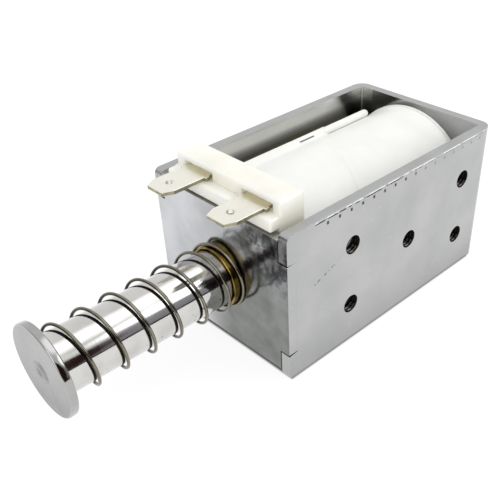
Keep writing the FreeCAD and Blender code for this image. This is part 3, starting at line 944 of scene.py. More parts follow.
def arc(centre: Point, radius: float, start: float, end: float, steps: int) -> list[Point]:
    """Find the points of an arc.

    Args:
        centre: Its centre.
        radius: Its radius.
        start: Angle of the first point, in degrees.
        end: Angle of the last point, in degrees.
        steps: Chords of the arc.

    Returns:
        The points, one more than the chords.
    """
    return [(centre[0] + radius * math.cos(math.radians(start + (end - start) * step / steps)),
             centre[1] + radius * math.sin(math.radians(start + (end - start) * step / steps)))
            for step in range(steps + 1)]


def rounded(corners: Sequence[Place], steps: int = 6) -> list[Point]:
    """Round the corners of a polygon.

    Args:
        corners: Each corner as (first, second, radius).
        steps: Chords in each rounding.

    Returns:
        The outline with its roundings.
    """
    outline: list[Point] = []
    for index, (first, second, radius) in enumerate(corners):
        corner = Vector((first, second))
        if radius <= 0:
            outline.append((first, second))
            continue
        back = (Vector(corners[index - 1][:2]) - corner).normalized()
        ahead = (Vector(corners[(index + 1) % len(corners)][:2]) - corner).normalized()
        half = back.angle(ahead) / 2
        middle = corner + (back + ahead).normalized() * (radius / math.sin(half))
        from_point = corner + back * (radius / math.tan(half)) - middle
        to_point = corner + ahead * (radius / math.tan(half)) - middle
        sweep = from_point.angle_signed(to_point)
        for step in range(steps + 1):
            turned = from_point.copy()
            turned.rotate(Matrix.Rotation(-sweep * step / steps, 2))
            outline.append(tuple(middle + turned))
    return outline


def flat_sheet(outline: Sequence[Point], holes: Sequence[Sequence[Point]], thickness: float,
               lift: Callable[[float, float, float], Place],
               cuts: Sequence[float] = (), edge: float = 0.2, steps: int = 2,
               kept: Callable[[float, float], bool] = lambda first, second: False,
               rim: int = 1) -> bmesh.types.BMesh:
    """Blank a sheet from an outline with holes, break its edges and put it in place.

    Args:
        outline: Points of the outer edge.
        holes: Points of each hole.
        thickness: Sheet thickness in millimetres.
        lift: Gives (along, across, up) for (first, second, depth), all in millimetres.
        cuts: Places along the first axis where the sheet gets extra lines, so that it can bend.
        edge: Width of the broken edges.
        steps: Facets of the broken edges.
        kept: Tells from (first, second) whether an edge stays sharp there.
        rim: Material number of the broken edges.

    Returns:
        The finished sheet; its cut faces have material number 1.
    """
    mesh = bmesh.new()
    for loop in (outline, *holes):
        corners = [mesh.verts.new((first, second, 0.0)) for first, second in loop]
        for index, corner in enumerate(corners):
            mesh.edges.new((corner, corners[(index + 1) % len(corners)]))
    bmesh.ops.triangle_fill(mesh, use_beauty=True, use_dissolve=True, edges=mesh.edges[:])
    bmesh.ops.recalc_face_normals(mesh, faces=mesh.faces)
    grown = bmesh.ops.extrude_face_region(mesh, geom=mesh.faces[:], use_keep_orig=True)
    moved = [item for item in grown["geom"] if isinstance(item, bmesh.types.BMVert)]
    bmesh.ops.translate(mesh, vec=(0, 0, thickness), verts=moved)
    bmesh.ops.recalc_face_normals(mesh, faces=mesh.faces)
    for face in mesh.faces:
        face.material_index = int(abs(face.normal.z) < 0.5)
    sharp = [item for item in mesh.edges if len(item.link_faces) == 2
             and item.calc_face_angle() > SHARP
             and abs(item.verts[0].co.z - item.verts[1].co.z) < thickness / 2
             and not kept(*((item.verts[0].co + item.verts[1].co) / 2)[:2])]
    bmesh.ops.bevel(mesh, geom=sharp, offset=edge, segments=steps, profile=0.5, affect="EDGES",
                    clamp_overlap=True, material=rim)
    for place in cuts:
        bmesh.ops.bisect_plane(mesh, geom=mesh.verts[:] + mesh.edges[:] + mesh.faces[:],
                               plane_co=(place, 0, 0), plane_no=(1, 0, 0))
    for corner in mesh.verts:
        x, y, z = lift(*corner.co)
        corner.co = ((x + FRONT_X) * MM, y * MM, z * MM)
    bmesh.ops.recalc_face_normals(mesh, faces=mesh.faces)
    return mesh


def stepped(lines: Sequence[Sequence[float]], filled: Callable[[float, float, float], bool]) -> bmesh.types.BMesh:
    """Build a stepped body out of the cells of a grid.

    Args:
        lines: Grid places along each of the three axes, in millimetres.
        filled: Tells from a cell's middle whether it belongs to the body.

    Returns:
        The body's outer skin with its flat faces whole.
    """
    cells = {(a, b, c) for a in range(len(lines[0]) - 1) for b in range(len(lines[1]) - 1)
             for c in range(len(lines[2]) - 1)
             if filled(*((places[at] + places[at + 1]) / 2 for places, at in zip(lines, (a, b, c))))}
    numbers: dict[tuple[int, ...], int] = {}
    faces = []
    for cell in sorted(cells):
        for axis in range(3):
            for side in (0, 1):
                beside = tuple(at + (2 * side - 1) * (index == axis) for index, at in enumerate(cell))
                if beside in cells:
                    continue
                face = []
                for first, second in ((0, 0), (1, 0), (1, 1), (0, 1)):
                    corner = list(cell)
                    corner[axis] += side
                    corner[(axis + 1) % 3] += first
                    corner[(axis + 2) % 3] += second
                    face.append(numbers.setdefault(tuple(corner), len(numbers)))
                faces.append(face if side else face[::-1])
    points = [[places[at] for places, at in zip(lines, corner)] for corner in numbers]
    mesh = solid("stepped body", points, faces)
    bmesh.ops.dissolve_limit(mesh, angle_limit=0.01, verts=mesh.verts[:], edges=mesh.edges[:])
    bmesh.ops.recalc_face_normals(mesh, faces=mesh.faces)
    return mesh


def break_edges(mesh: bmesh.types.BMesh, width: float, steps: int,
                chosen: Callable[[Vector, Vector], bool] = lambda start, end: True) -> None:
    """Round off the outward sharp edges of a mesh.

    Args:
        mesh: Mesh in metres.
        width: Width of the rounding in millimetres.
        steps: Facets across the rounding.
        chosen: Tells from an edge's two ends in millimetres, measured from the front face, whether it is rounded.
    """
    origin = Vector((FRONT_X, 0, 0))
    sharp = [item for item in mesh.edges if len(item.link_faces) == 2
             and item.calc_face_angle_signed() > SHARP
             and chosen(item.verts[0].co / MM - origin, item.verts[1].co / MM - origin)]
    bmesh.ops.bevel(mesh, geom=sharp, offset=width * MM, segments=steps, profile=0.5, affect="EDGES",
                    clamp_overlap=True)


def circle(centre: Point, radius: float, segments: int = 48) -> list[Point]:
    """Points of a full circle."""
    return arc(centre, radius, 0, 360, segments)[:-1]


def tube(path: Sequence[Vector], radius: float, sides: int = 20, dome: bool = True) -> bmesh.types.BMesh:
    """Sweep a round section along a path.

    Args:
        path: Centre points in millimetres.
        radius: Radius of the section.
        sides: Corners of the section.
        dome: Whether the ends are rounded off.

    Returns:
        The closed tube.
    """
    centres = [Vector(point) for point in path]
    ways = [(centres[min(index + 1, len(centres) - 1)] - centres[max(index - 1, 0)]).normalized()
            for index in range(len(centres))]
    rings = []
    side = ways[0].orthogonal().normalized()
    for index, (centre, way) in enumerate(zip(centres, ways)):
        side = (side - way * side.dot(way)).normalized()
        rings.append((centre, way, side.copy(), radius))
    if dome:
        for end, sign in ((0, -1), (-1, 1)):
            centre, way, side, _ = rings[end]
            extra = [(centre + way * sign * radius * math.sin(turn), way, side, radius * math.cos(turn))
                     for turn in (math.radians(angle) for angle in DOME_ANGLES)]
            rings = extra[::-1] + rings if sign < 0 else rings + extra
    points = []
    for centre, way, side, size in rings:
        other = way.cross(side)
        for corner in range(sides):
            turn = 2 * math.pi * corner / sides
            points.append(tuple(centre + side * size * math.cos(turn) + other * size * math.sin(turn)))
    faces: list[tuple[int, ...]] = []
    for index in range(len(rings) - 1):
        for corner in range(sides):
            after = (corner + 1) % sides
            faces.append((index * sides + corner, index * sides + after,
                          (index + 1) * sides + after, (index + 1) * sides + corner))
    faces.append(tuple(range(sides))[::-1])
    faces.append(tuple(range((len(rings) - 1) * sides, len(rings) * sides)))
    return solid("tube", points, faces)


def joined(meshes: Sequence[bmesh.types.BMesh]) -> bmesh.types.BMesh:
    """Put several meshes into the first one.

    Args:
        meshes: The meshes; all but the first are freed.

    Returns:
        The first mesh with all the faces.
    """
    first = meshes[0]
    for other in meshes[1:]:
        data = bpy.data.meshes.new("joining")
        other.to_mesh(data)
        other.free()
        first.from_mesh(data)
        bpy.data.meshes.remove(data)
    return first


def finish_piece(name: str, mesh: bmesh.types.BMesh, material: bpy.types.Material, body: Body,
                 replaces: Sequence[str] = (), crease: float = 35.0,
                 others: Sequence[bpy.types.Material] = ()) -> bpy.types.Object:
    """Turn a mesh into a named piece that rides on its body.

    Args:
        name: Name of the piece.
        mesh: Its mesh, which is freed.
        material: Its finish.
        body: Body that it moves with.
        replaces: CAD nodes that it stands for.
        crease: Edges sharper than this many degrees stay sharp.
        others: Finishes of the faces with material numbers above 0.

    Returns:
        The piece.
    """
    data = bpy.data.meshes.new(name)
    mesh.to_mesh(data)
    mesh.free()
    for finish in (material, *others):
        data.materials.append(finish)
    data.shade_smooth()
    data.set_sharp_from_angle(angle=math.radians(crease))
    piece = bpy.data.objects.new(name, data)
    bpy.context.scene.collection.objects.link(piece)
    weighted = piece.modifiers.new("flat faces stay flat", "WEIGHTED_NORMAL")
    weighted.keep_sharp = True
    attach(piece, body.value)
    if replaces:
        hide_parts(*replaces)
    LOG.info("%s: %d faces", name, len(data.polygons))
    return piece


# Sub-assemblies
@dataclass
class SteelFrame:
    """The bent yoke with its tapped holes, and the flat front plate whose ears sit in it."""

    palette: Palette
    length: float = 61.4
    width: float = 36.7
    height: float = 32.0
    wall: float = 2.1
    bend: float = 2.7
    corner: float = 1.2
    plate_drop: float = 1.4
    ear: Point = (6.0, 26.0)  # lower and upper edge
    seat: float = 0.05
    hole_line: Place = (17.0, 34.5, 52.0)  # distances of the three rows
    hole_rise: Place = (8.9, 15.8, 22.7)  # heights of the three rows
    thread: Place = (1.62, 1.95, 0.7)  # crest radius, root radius, pitch
    core_hole: float = 4.02
    tube_hole: float = 6.32
    ear_gap: float = 0.25
    side_gap: float = 0.22
    notch_room: float = 0.01
    notch_round: float = 0.1
    edge: float = 0.22
    kept_near: float = 0.3
    bend_steps: int = 12
    thread_inset: float = 0.2
    thread_rows: int = 36
    thread_sides: int = 40
    less_shaded_depth: float = 1.5
    less_shaded_arc: Point = (-150.0, -35.0)  # where the crests are painted less dark
    plate_rounds: Place = (0.3, 0.1, 0.15)  # corners of the plate, roots and tips of its ears
    plate_edge: float = 0.12
    ear_near: float = 0.05

    def hole_centres(self) -> list[Point]:
        """Find the five holes of one side wall.

        Returns:
            Their centres as (along, up).
        """
        first, middle, last = self.hole_line
        low, centre, high = self.hole_rise
        return [(first, low), (first, high), (last, low), (last, high), (middle, centre)]

    def strip_lengths(self) -> Place:
        """Lengths of a side wall, a bend and the rear wall along the flat strip."""
        return self.length - self.bend, (self.bend - self.wall / 2) * math.pi / 2, self.width - 2 * self.bend

    def bent(self, along: float, up: float, depth: float) -> Place:
        """Place a point of the flat strip on the bent yoke.

        Args:
            along: Distance along the strip from the left wall's front end.
            up: Height.
            depth: Depth below the outer surface.

        Returns:
            The place as (along, across, up).
        """
        side, turn, rear = self.strip_lengths()
        half = self.width / 2
        if along > side + turn + rear / 2:
            x, y, z = self.bent(2 * (side + turn) + rear - along, up, depth)
            return x, -y, z
        if along <= side:
            return along, half - depth, up
        if along <= side + turn:
            angle = (along - side) / turn * math.pi / 2
            radius = self.bend - depth
            return side + radius * math.sin(angle), half - self.bend + radius * math.cos(angle), up
        return self.length - depth, half - self.bend - (along - side - turn), up

    def yoke(self) -> bpy.types.Object:
        """Blank, tap and bend the yoke.

        Returns:
            The yoke.
        """
        side, turn, rear = self.strip_lengths()
        whole = 2 * (side + turn) + rear
        notch = self.wall + self.notch_room
        low, high = self.ear[0] - self.seat, self.ear[1] + self.seat
        front = [(0, self.height, self.corner), (0, high + self.ear_gap, self.notch_round), (notch, high, 0),
                 (notch, low, 0), (0, low - self.ear_gap, self.notch_round), (0, 0, self.corner)]
        back = [(whole - first, second, radius) for first, second, radius in reversed(front)]
        outline = rounded(front + back)
        holes = [circle(centre, self.thread[1]) for centre in self.hole_centres()]
        holes += [circle((whole - first, second), self.thread[1]) for first, second in self.hole_centres()]
        holes.append(circle((whole / 2, AXIS_Z), self.core_hole))
        steps, near = self.bend_steps, self.kept_near
        cuts = [start + turn * step / steps for start in (side, side + turn + rear) for step in range(steps + 1)]
        mesh = flat_sheet(outline, holes, self.wall, self.bent, cuts, edge=self.edge, steps=3, rim=2,
                          kept=lambda first, second: abs(first - whole / 2) > whole / 2 - notch - near
                          and low - near < second < high + near)
        return finish_piece("steel_yoke", mesh, self.palette.zinc, Body.STATOR, ["frame_yoke"],
                            others=[self.palette.cut, self.palette.worn])

    def threads(self) -> bpy.types.Object:
        """Cut the screw thread of every tapped hole.

        Returns:
            One piece with all the threads.
        """
        crest, root, pitch = self.thread
        rows, segments, inset = self.thread_rows, self.thread_sides, self.thread_inset
        first_turn, last_turn = self.less_shaded_arc
        meshes = []
        half = self.width / 2
        for sign in (-1, 1):
            for along, up in self.hole_centres():
                points = []
                for row in range(rows + 1):
                    depth = inset + (self.wall - 2 * inset) * row / rows
                    for segment in range(segments):
                        share = segment / segments
                        wave = (depth / pitch + share) % 1.0
                        radius = crest + (root - crest) * abs(2 * wave - 1)
                        turn = 2 * math.pi * share
                        points.append((along + radius * math.cos(turn), sign * (half - depth),
                                       up + radius * math.sin(turn)))
                faces = [(row * segments + segment, row * segments + (segment + 1) % segments,
                          (row + 1) * segments + (segment + 1) % segments, (row + 1) * segments + segment)
                         for row in range(rows) for segment in range(segments)]
                mesh = solid("thread", points, faces)
                # Painted shade: crests near the surface on the lower side get the less dark finish, all else the dark
                # one
                for face in mesh.faces:
                    middle = face.calc_center_median() / MM - Vector((FRONT_X + along, 0, up))
                    less_shaded = math.hypot(middle.x, middle.z) < (crest + root) / 2
                    less_shaded = less_shaded and abs(middle.y) > half - self.less_shaded_depth
                    turn = math.degrees(math.atan2(middle.z, middle.x))
                    face.material_index = int(not (less_shaded and first_turn < turn < last_turn))
                meshes.append(mesh)
        return finish_piece("tapped_threads", joined(meshes), self.palette.crest, Body.STATOR,
                            crease=60, others=[self.palette.thread])

    def front_plate(self) -> bpy.types.Object:
        """Blank the front plate.

        Returns:
            The plate.
        """
        body_half = self.width / 2 - self.wall - self.side_gap
        half = self.width / 2
        low, high = self.plate_drop, self.height - self.plate_drop
        corner, root, tip = self.plate_rounds
        right = [(body_half, low, corner), (body_half, self.ear[0], root), (half, self.ear[0], tip),
                 (half, self.ear[1], tip), (body_half, self.ear[1], root), (body_half, high, corner)]
        left = [(-first, second, radius) for first, second, radius in reversed(right)]
        mesh = flat_sheet(rounded(right + left), [circle((0, AXIS_Z), self.tube_hole, 96)], self.wall,
                          lambda first, second, depth: (depth, first, second), edge=self.plate_edge,
                          kept=lambda first, second: abs(first) > body_half - self.ear_near)
        return finish_piece("steel_front_plate", mesh, self.palette.plate, Body.STATOR,
                            ["front_plate"], others=[self.palette.zinc])

    def build(self) -> None:
        """Make the whole frame."""
        self.yoke()
        self.threads()
        self.front_plate()


@dataclass
class Bobbin:
    """Moulded bobbin: terminal block and front flange, barrel, round rear flange."""

    palette: Palette
    front: float = 2.2
    winding_front: float = 8.7
    winding_rear: float = 56.5
    rear: float = 57.7
    flange: float = 15.9
    bore: float = 6.35
    barrel: float = 7.35
    block_half: float = 14.2
    block_top: float = 36.0
    block_root: float = 27.3
    set_back: float = 2.7
    nose: Point = (0.25, 30.9)  # front and lower edge
    shelf: float = 33.4
    edge: float = 0.45
    end_edge: float = 1.0
    recess: Place = (4.1, 4.0, 35.1)  # rear, half width, top
    blades: Point = (-8.35, 7.65)  # middles of the two recesses
    end_wall: float = 1.2
    upright: float = 1.5
    near: float = 0.1
    flange_edge: float = 0.3

    def block(self) -> bpy.types.Object:
        """Mould the terminal block, with a recess round each blade's root.

        Returns:
            The block.
        """
        recess_rear, recess_half, recess_top = self.recess
        across = [middle + sign * recess_half for middle in self.blades for sign in (-1, 1)]
        lines = ((self.nose[0], self.front, self.set_back, recess_rear, self.winding_front),
                 (-self.block_half, *across, self.block_half),
                 (self.block_root, self.nose[1], self.shelf, recess_top, self.block_top))

        def filled(x: float, y: float, z: float) -> bool:
            """Tell whether the block has nylon at a place.

            Args:
                x: Distance behind the front face.
                y: Distance to the left of the axis.
                z: Height.

            Returns:
                True inside the nylon.
            """
            if z < self.nose[1]:
                return x > self.front
            if z < self.shelf:
                return True
            recess = x < recess_rear and z < recess_top and any(abs(y - at) < recess_half for at in self.blades)
            return x > self.set_back and not recess

        mesh = stepped(lines, filled)
        near, inner_half = self.near, self.block_half - self.end_wall
        break_edges(mesh, self.end_edge, 6, lambda start, end: abs(start.z - end.z) > self.upright
                    and min(abs(start.y), abs(end.y)) > self.block_half - near and start.z > self.nose[1] - near)
        # The edges of the two recesses stay sharp
        break_edges(mesh, self.edge, 4, lambda start, end: max(start.z, end.z) > self.nose[1] - near
                    and not (start.x < recess_rear and self.shelf - near < max(start.z, end.z) < recess_top + near
                             and min(start.x, end.x) > self.set_back - near
                             and min(abs(start.y), abs(end.y)) < inner_half))
        # Faces inside the recesses take the yellower nylon, painted as their shade
        for face in mesh.faces:
            middle = face.calc_center_median() / MM - Vector((FRONT_X, 0, 0))
            if (self.set_back + near / 2 < middle.x < recess_rear + near / 2
                    and self.shelf + near / 2 < middle.z < recess_top + near / 10 and abs(middle.y) < inner_half):
                face.material_index = 1
        return finish_piece("nylon_terminal_block", mesh, self.palette.nylon, Body.STATOR,
                            others=[self.palette.pocket])

    def spool(self) -> bpy.types.Object:
        """Mould the round part of the bobbin.

        Returns:
            The spool.
        """
        soft = self.flange_edge
        profile = [(self.front, self.bore), (self.rear, self.bore),
                   (self.rear, self.flange - soft), (self.rear - soft, self.flange),
                   (self.winding_rear + soft, self.flange), (self.winding_rear, self.flange - soft),
                   (self.winding_rear, self.barrel), (self.winding_front, self.barrel),
                   (self.winding_front, self.flange), (self.front, self.flange)]
        return finish_piece("nylon_spool", lathe(profile, 160), self.palette.nylon, Body.STATOR,
                            ["bobbin"])

    def build(self) -> None:
        """Make the whole bobbin."""
        self.block()
        self.spool()


@dataclass
class Coil:
    """Tape wound over the copper and drawn over the outer lead's sleeve, and the sleeve itself."""

    palette: Palette
    front: float = 8.7
    rear: float = 56.5
    radius: float = 15.45
    band: float = 0.12
    sleeve_radius: float = 0.88
    sleeve_line: float = 16.34
    sleeve_angle: float = 56.8
    sleeve_end: float = 52.5
    ridge: Point = (1.8, 1.15)  # height and half width of the tape over the sleeve
    flare: Place = (54.3, 56.3, 0.36)  # start, end and height of the rise at the rear flange
    lap_end: float = 31.6
    lap_turn: float = 82.0
    lap_slopes: Point = (0.29, 0.09)  # slant of the second turn's edge before and after lap_turn
    lap_width: float = 0.5
    ripple: Place = (0.03, 9.0, 3.0)  # height, length along, waves round
    columns: int = 160

    def tape(self) -> bpy.types.Object:
        """Wind the tape, with the oblique step at the end of its second turn.

        Returns:
            The tape.
        """
        # Fine steps over the ridge that the sleeve raises, coarse ones elsewhere
        angles = [step * 1.5 for step in range(25)] + [37.5 + step * 0.25 for step in range(151)]
        angles += [76.5 + step * 1.5 for step in range(189)]
        columns, segments = self.columns, len(angles)
        ripple, run, swing = self.ripple
        points = []
        for column in range(columns + 1):
            along = self.front + (self.rear - self.front) * column / columns
            for angle in angles:
                turn = math.radians(angle)
                radius = self.radius + self.step_at(along, angle)
                radius += ripple * noise.noise(Vector((along / run, math.cos(turn) * swing, math.sin(turn) * swing)))
                points.append((along, radius * math.cos(turn), AXIS_Z + radius * math.sin(turn)))
        faces = [(column * segments + segment, (column + 1) * segments + segment,
                  (column + 1) * segments + (segment + 1) % segments, column * segments + (segment + 1) % segments)
                 for column in range(columns) for segment in range(segments)]
        mesh = solid("tape", points, faces)
        bmesh.ops.recalc_face_normals(mesh, faces=mesh.faces)
        return finish_piece("coil_tape_wrap", mesh, self.palette.tape, Body.STATOR,
                            ["coil_tape", "coil_tape_band"], crease=60)

    def step_at(self, along: float, angle: float) -> float:
        """Height of the second turn of tape at one place, with the ridge where it crosses the sleeve.

        Args:
            along: Distance behind the front face.
            angle: Angle about the axis from the left side, in degrees.

        Returns:
            The extra radius in millimetres.
        """
        before, after = self.lap_slopes
        edge = self.lap_end - (angle - self.lap_turn) * (after if angle > self.lap_turn else before)
        share = min(1.0, max(0.0, (edge - along) / self.lap_width + 0.5))
        height, width = self.ridge
        away = self.radius * math.radians(angle - self.sleeve_angle) / width
        start, end, rise = self.flare
        rear = min(1.0, max(0.0, (along - start) / (end - start)))
        return (self.band + height * math.exp(-abs(away) ** 3)) * share + rise * rear * rear * (3 - 2 * rear)

    def sleeve(self) -> bpy.types.Object:
        """Lay the sleeve along the top of the coil.

        Returns:
            The sleeve.
        """
        turn = math.radians(self.sleeve_angle)
        across, up = self.sleeve_line * math.cos(turn), AXIS_Z + self.sleeve_line * math.sin(turn)
        path = [Vector((along, across, up)) for along in (self.front, 20, 30, 40, self.sleeve_end - self.sleeve_radius)]
        mesh = tube(path, self.sleeve_radius, 24)
        return finish_piece("lead_sleeve_tube", mesh, self.palette.sleeve, Body.STATOR,
                            ["lead_sleeve"])

    def build(self) -> None:
        """Make the coil."""
        self.tape()
        self.sleeve()


@dataclass
class Terminal:
    """One blade terminal, stamped from tinned brass sheet."""

    palette: Palette
    name: str
    node: str
    middle: float
    reach: float
    width: float = 6.3
    thickness: float = 0.8
    top: float = 34.2
    tip_length: float = 2.1
    tip_cut: float = 0.9
    hole: Point = (3.5, 0.85)  # distance from the tip, radius
    shoulder: Place = (1.7, 2.7, 0.5)  # start, end, width
    root: Place = (5.3, 7.05, 1.8)  # start, end, half width
    rounds: Place = (0.5, 0.8, 0.1)  # tip, taper, shoulder
    shoulder_round: float = 0.2
    edge: float = 0.26
    hole_edge: float = 0.1

    def build(self) -> bpy.types.Object:
        """Stamp the terminal.

        Returns:
            The terminal.
        """
        half = self.width / 2
        start, end, step = self.shoulder
        root_start, root_end, root_half = self.root
        tip, taper, small = self.rounds
        side = [(-self.reach, half - self.tip_cut, tip), (self.tip_length - self.reach, half, taper),
                (start, half, small), (start, half + step, self.shoulder_round), (end, half + step, small),
                (end, half, 0.0), (root_start, half, 0.0), (root_start, root_half, 0.0), (root_end, root_half, 0.0)]
        other = [(first, -second, radius) for first, second, radius in reversed(side)]
        bottom = self.top - self.thickness
        from_tip, hole = self.hole
        hole_at = from_tip - self.reach
        mesh = flat_sheet(rounded(side + other, 5), [circle((hole_at, 0), hole, 32)], self.thickness,
                          lambda first, second, depth: (first, second + self.middle, bottom + depth),
                          edge=self.edge, steps=4, rim=0,
                          kept=lambda first, second: math.hypot(first - hole_at, second) < hole + self.hole_edge)
        for face in mesh.faces:
            middle = face.calc_center_median() / MM
            if math.hypot(middle.x - FRONT_X - hole_at, middle.y - self.middle) < hole:
                face.material_index = 0
        return finish_piece(self.name, mesh, self.palette.tin, Body.STATOR, [self.node],
                            others=[self.palette.tin_cut])


@dataclass
class Spring:
    """Return spring: open coils that close up in the last turn against the front plate."""

    palette: Palette
    radius: float = 6.48
    rear_radius: float = 6.68
    widening: Point = (-12.0, -2.6)  # where the coils grow to the rear radius
    wire: float = 0.3
    front: float = -36.68
    runs: tuple[Point, ...] = ((5.7, 5.704), (1.1, 3.48), (0.4, 0.05))  # turns and pitch of each run
    phase: float = -114.0
    steps_per_turn: int = 72
    travel: float = 30.0

    def path(self) -> list[Vector]:
        """Centre line of the wire.

        Returns:
            Points in millimetres.
        """
        points = []
        along, angle = self.front, self.phase
        for turns, pitch in self.runs:
            steps = round(turns * self.steps_per_turn)
            for step in range(steps):
                points.append(self.place(along, angle))
                along += pitch * turns / steps
                angle += 360 * turns / steps
        points.append(self.place(along, angle))
        return points

    def place(self, along: float, angle: float) -> Vector:
        """Point of the wire's centre line.

        Args:
            along: Distance behind the front face, in millimetres.
            angle: Angle about the axis, in degrees.

        Returns:
            The point in millimetres.
        """
        start, end = self.widening
        share = min(1.0, max(0.0, (along - start) / (end - start)))
        radius = self.radius + (self.rear_radius - self.radius) * share * share * (3 - 2 * share)
        turn = math.radians(angle)
        return Vector((along, radius * math.cos(turn), AXIS_Z + radius * math.sin(turn)))

    def build(self) -> bpy.types.Object:
        """Coil the spring.

        Returns:
            The spring.
        """
        mesh = tube(self.path(), self.wire, 20, dome=False)
        piece = finish_piece("spring_coils", mesh, self.palette.wire, Body.STATOR, ["return_spring"])
        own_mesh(piece)
        return piece


@dataclass
class PlungerSet:
    """The sliding pieces made here: plunger, riveted end and head, with a socket in the plunger for the push rod."""

    palette: Palette
    radius: float = 5.65
    head_face: float = -38.5
    head_back: float = -37.0
    head_radius: float = 8.85
    rivet: float = 2.2
    rivet_seat: Point = (0.03, 0.01)  # how far the hole's edge lies back, room round the rivet
    countersink: float = 0.25
    nose: float = 20.75
    rod: float = 2.5
    rod_room: float = 0.02
    socket: float = 10.75
    chamfer: float = 0.8
    head_edge: float = 0.3
    # Crown and punched dimple of the riveted end: how far in front of the head's face at which radius
    crown: tuple[Point, ...] = ((-0.02, 0.0), (0.0, 0.4), (0.07, 0.75), (0.13, 0.95), (0.15, 1.15), (0.12, 1.35),
                                (0.05, 1.6), (0.01, 1.9), (-0.03, 2.2))

    def build(self) -> None:
        """Make the sliding pieces."""
        self.turn_plunger()
        self.rivet_end()
        self.stamp_head()

    def turn_plunger(self) -> bpy.types.Object:
        """Turn the plunger.

        Returns:
            The plunger.
        """
        bore, cut = self.rod + self.rod_room, self.chamfer
        profile = [(self.head_back, 0.0), (self.socket, 0.0), (self.socket, bore), (self.nose, bore),
                   (self.nose, self.radius - cut), (self.nose - cut, self.radius), (self.head_back, self.radius)]
        return finish_piece("plunger_turned", lathe(profile, 192), self.palette.chrome, Body.PLUNGER,
                            ["plunger"])

    def rivet_end(self) -> bpy.types.Object:
        """Set the plunger's riveted end in the head, with the punch's soft dimple.

        Returns:
            The riveted end.
        """
        profile = [(self.head_back, 0.0)] + [(self.head_face - ahead, radius) for ahead, radius in self.crown]
        profile.append((self.head_back, self.rivet))
        return finish_piece("plunger_riveted_end", lathe(profile, 96), self.palette.rivet, Body.PLUNGER,
                            crease=60)

    def stamp_head(self) -> bpy.types.Object:
        """Stamp the round head.

        Returns:
            The head.
        """
        soft, (dip, room), countersink = self.head_edge, self.rivet_seat, self.countersink
        back, front = [(along, self.head_radius - soft) for along in (self.head_back - soft, self.head_face + soft)]
        profile = [(self.head_face + dip, self.rivet + room), (self.head_back, self.rivet + room)]
        profile += arc(back, soft, 0, 90, 5) + arc(front, soft, 90, 180, 5)
        profile.append((self.head_face, self.rivet + countersink))
        mesh = lathe(profile, 160)
        for face in mesh.faces:
            middle = face.calc_center_median() - Vector((0, 0, AXIS_Z * MM))
            face.material_index = int(math.hypot(middle.y, middle.z) > (self.head_radius - 0.9 * soft) * MM)
        return finish_piece("plunger_head_disc", mesh, self.palette.disc, Body.PLUNGER,
                            ["plunger_head"], others=[self.palette.rim])


@dataclass
class GuideTube:
    """Brass tube that guides the plunger, its stub standing in front of the plate."""

    palette: Palette
    stub: float = 2.0
    rear: float = 59.2
    bore: float = 5.85
    radius: float = 6.3
    edge: float = 0.08

    def build(self) -> bpy.types.Object:
        """Draw the tube.

        Returns:
            The tube.
        """
        soft = self.edge
        profile = [(-self.stub, self.bore + soft), (-self.stub + soft, self.bore), (self.rear, self.bore),
                   (self.rear, self.radius), (-self.stub + soft, self.radius), (-self.stub, self.radius - soft)]
        return finish_piece("brass_guide_tube", lathe(profile, 160), self.palette.brass, Body.STATOR,
                            ["guide_tube"])


def dress_nodes(nodes: dict[str, bpy.types.Object], palette: Palette) -> None:
    """Give every CAD node that stays its finish.

    Args:
        nodes: The CAD nodes by name.
        palette: The finishes.
    """
    finishes = {
        "coil_winding": palette.copper,
        "lead_start": palette.copper,
        "lead_finish": palette.copper,
        "solder_left": palette.solder,
        "solder_right": palette.solder,
        "fixed_core": palette.zinc,
        "gap_washer": palette.brass,
        "stop_damper": palette.rubber,
        "push_rod": palette.bright,
        "retaining_clip": palette.bright,
        "frame_yoke": palette.zinc,
        "front_plate": palette.plate,
        "bobbin": palette.nylon,
        "coil_tape": palette.tape,
        "coil_tape_band": palette.tape,
        "terminal_left": palette.tin,
        "terminal_right": palette.tin,
        "lead_sleeve": palette.sleeve,
        "guide_tube": palette.brass,
        "plunger": palette.chrome,
        "plunger_head": palette.disc,
        "return_spring": palette.wire,
    }
    for name, node in nodes.items():
        node.data.materials.clear()
        node.data.materials.append(finishes[name])


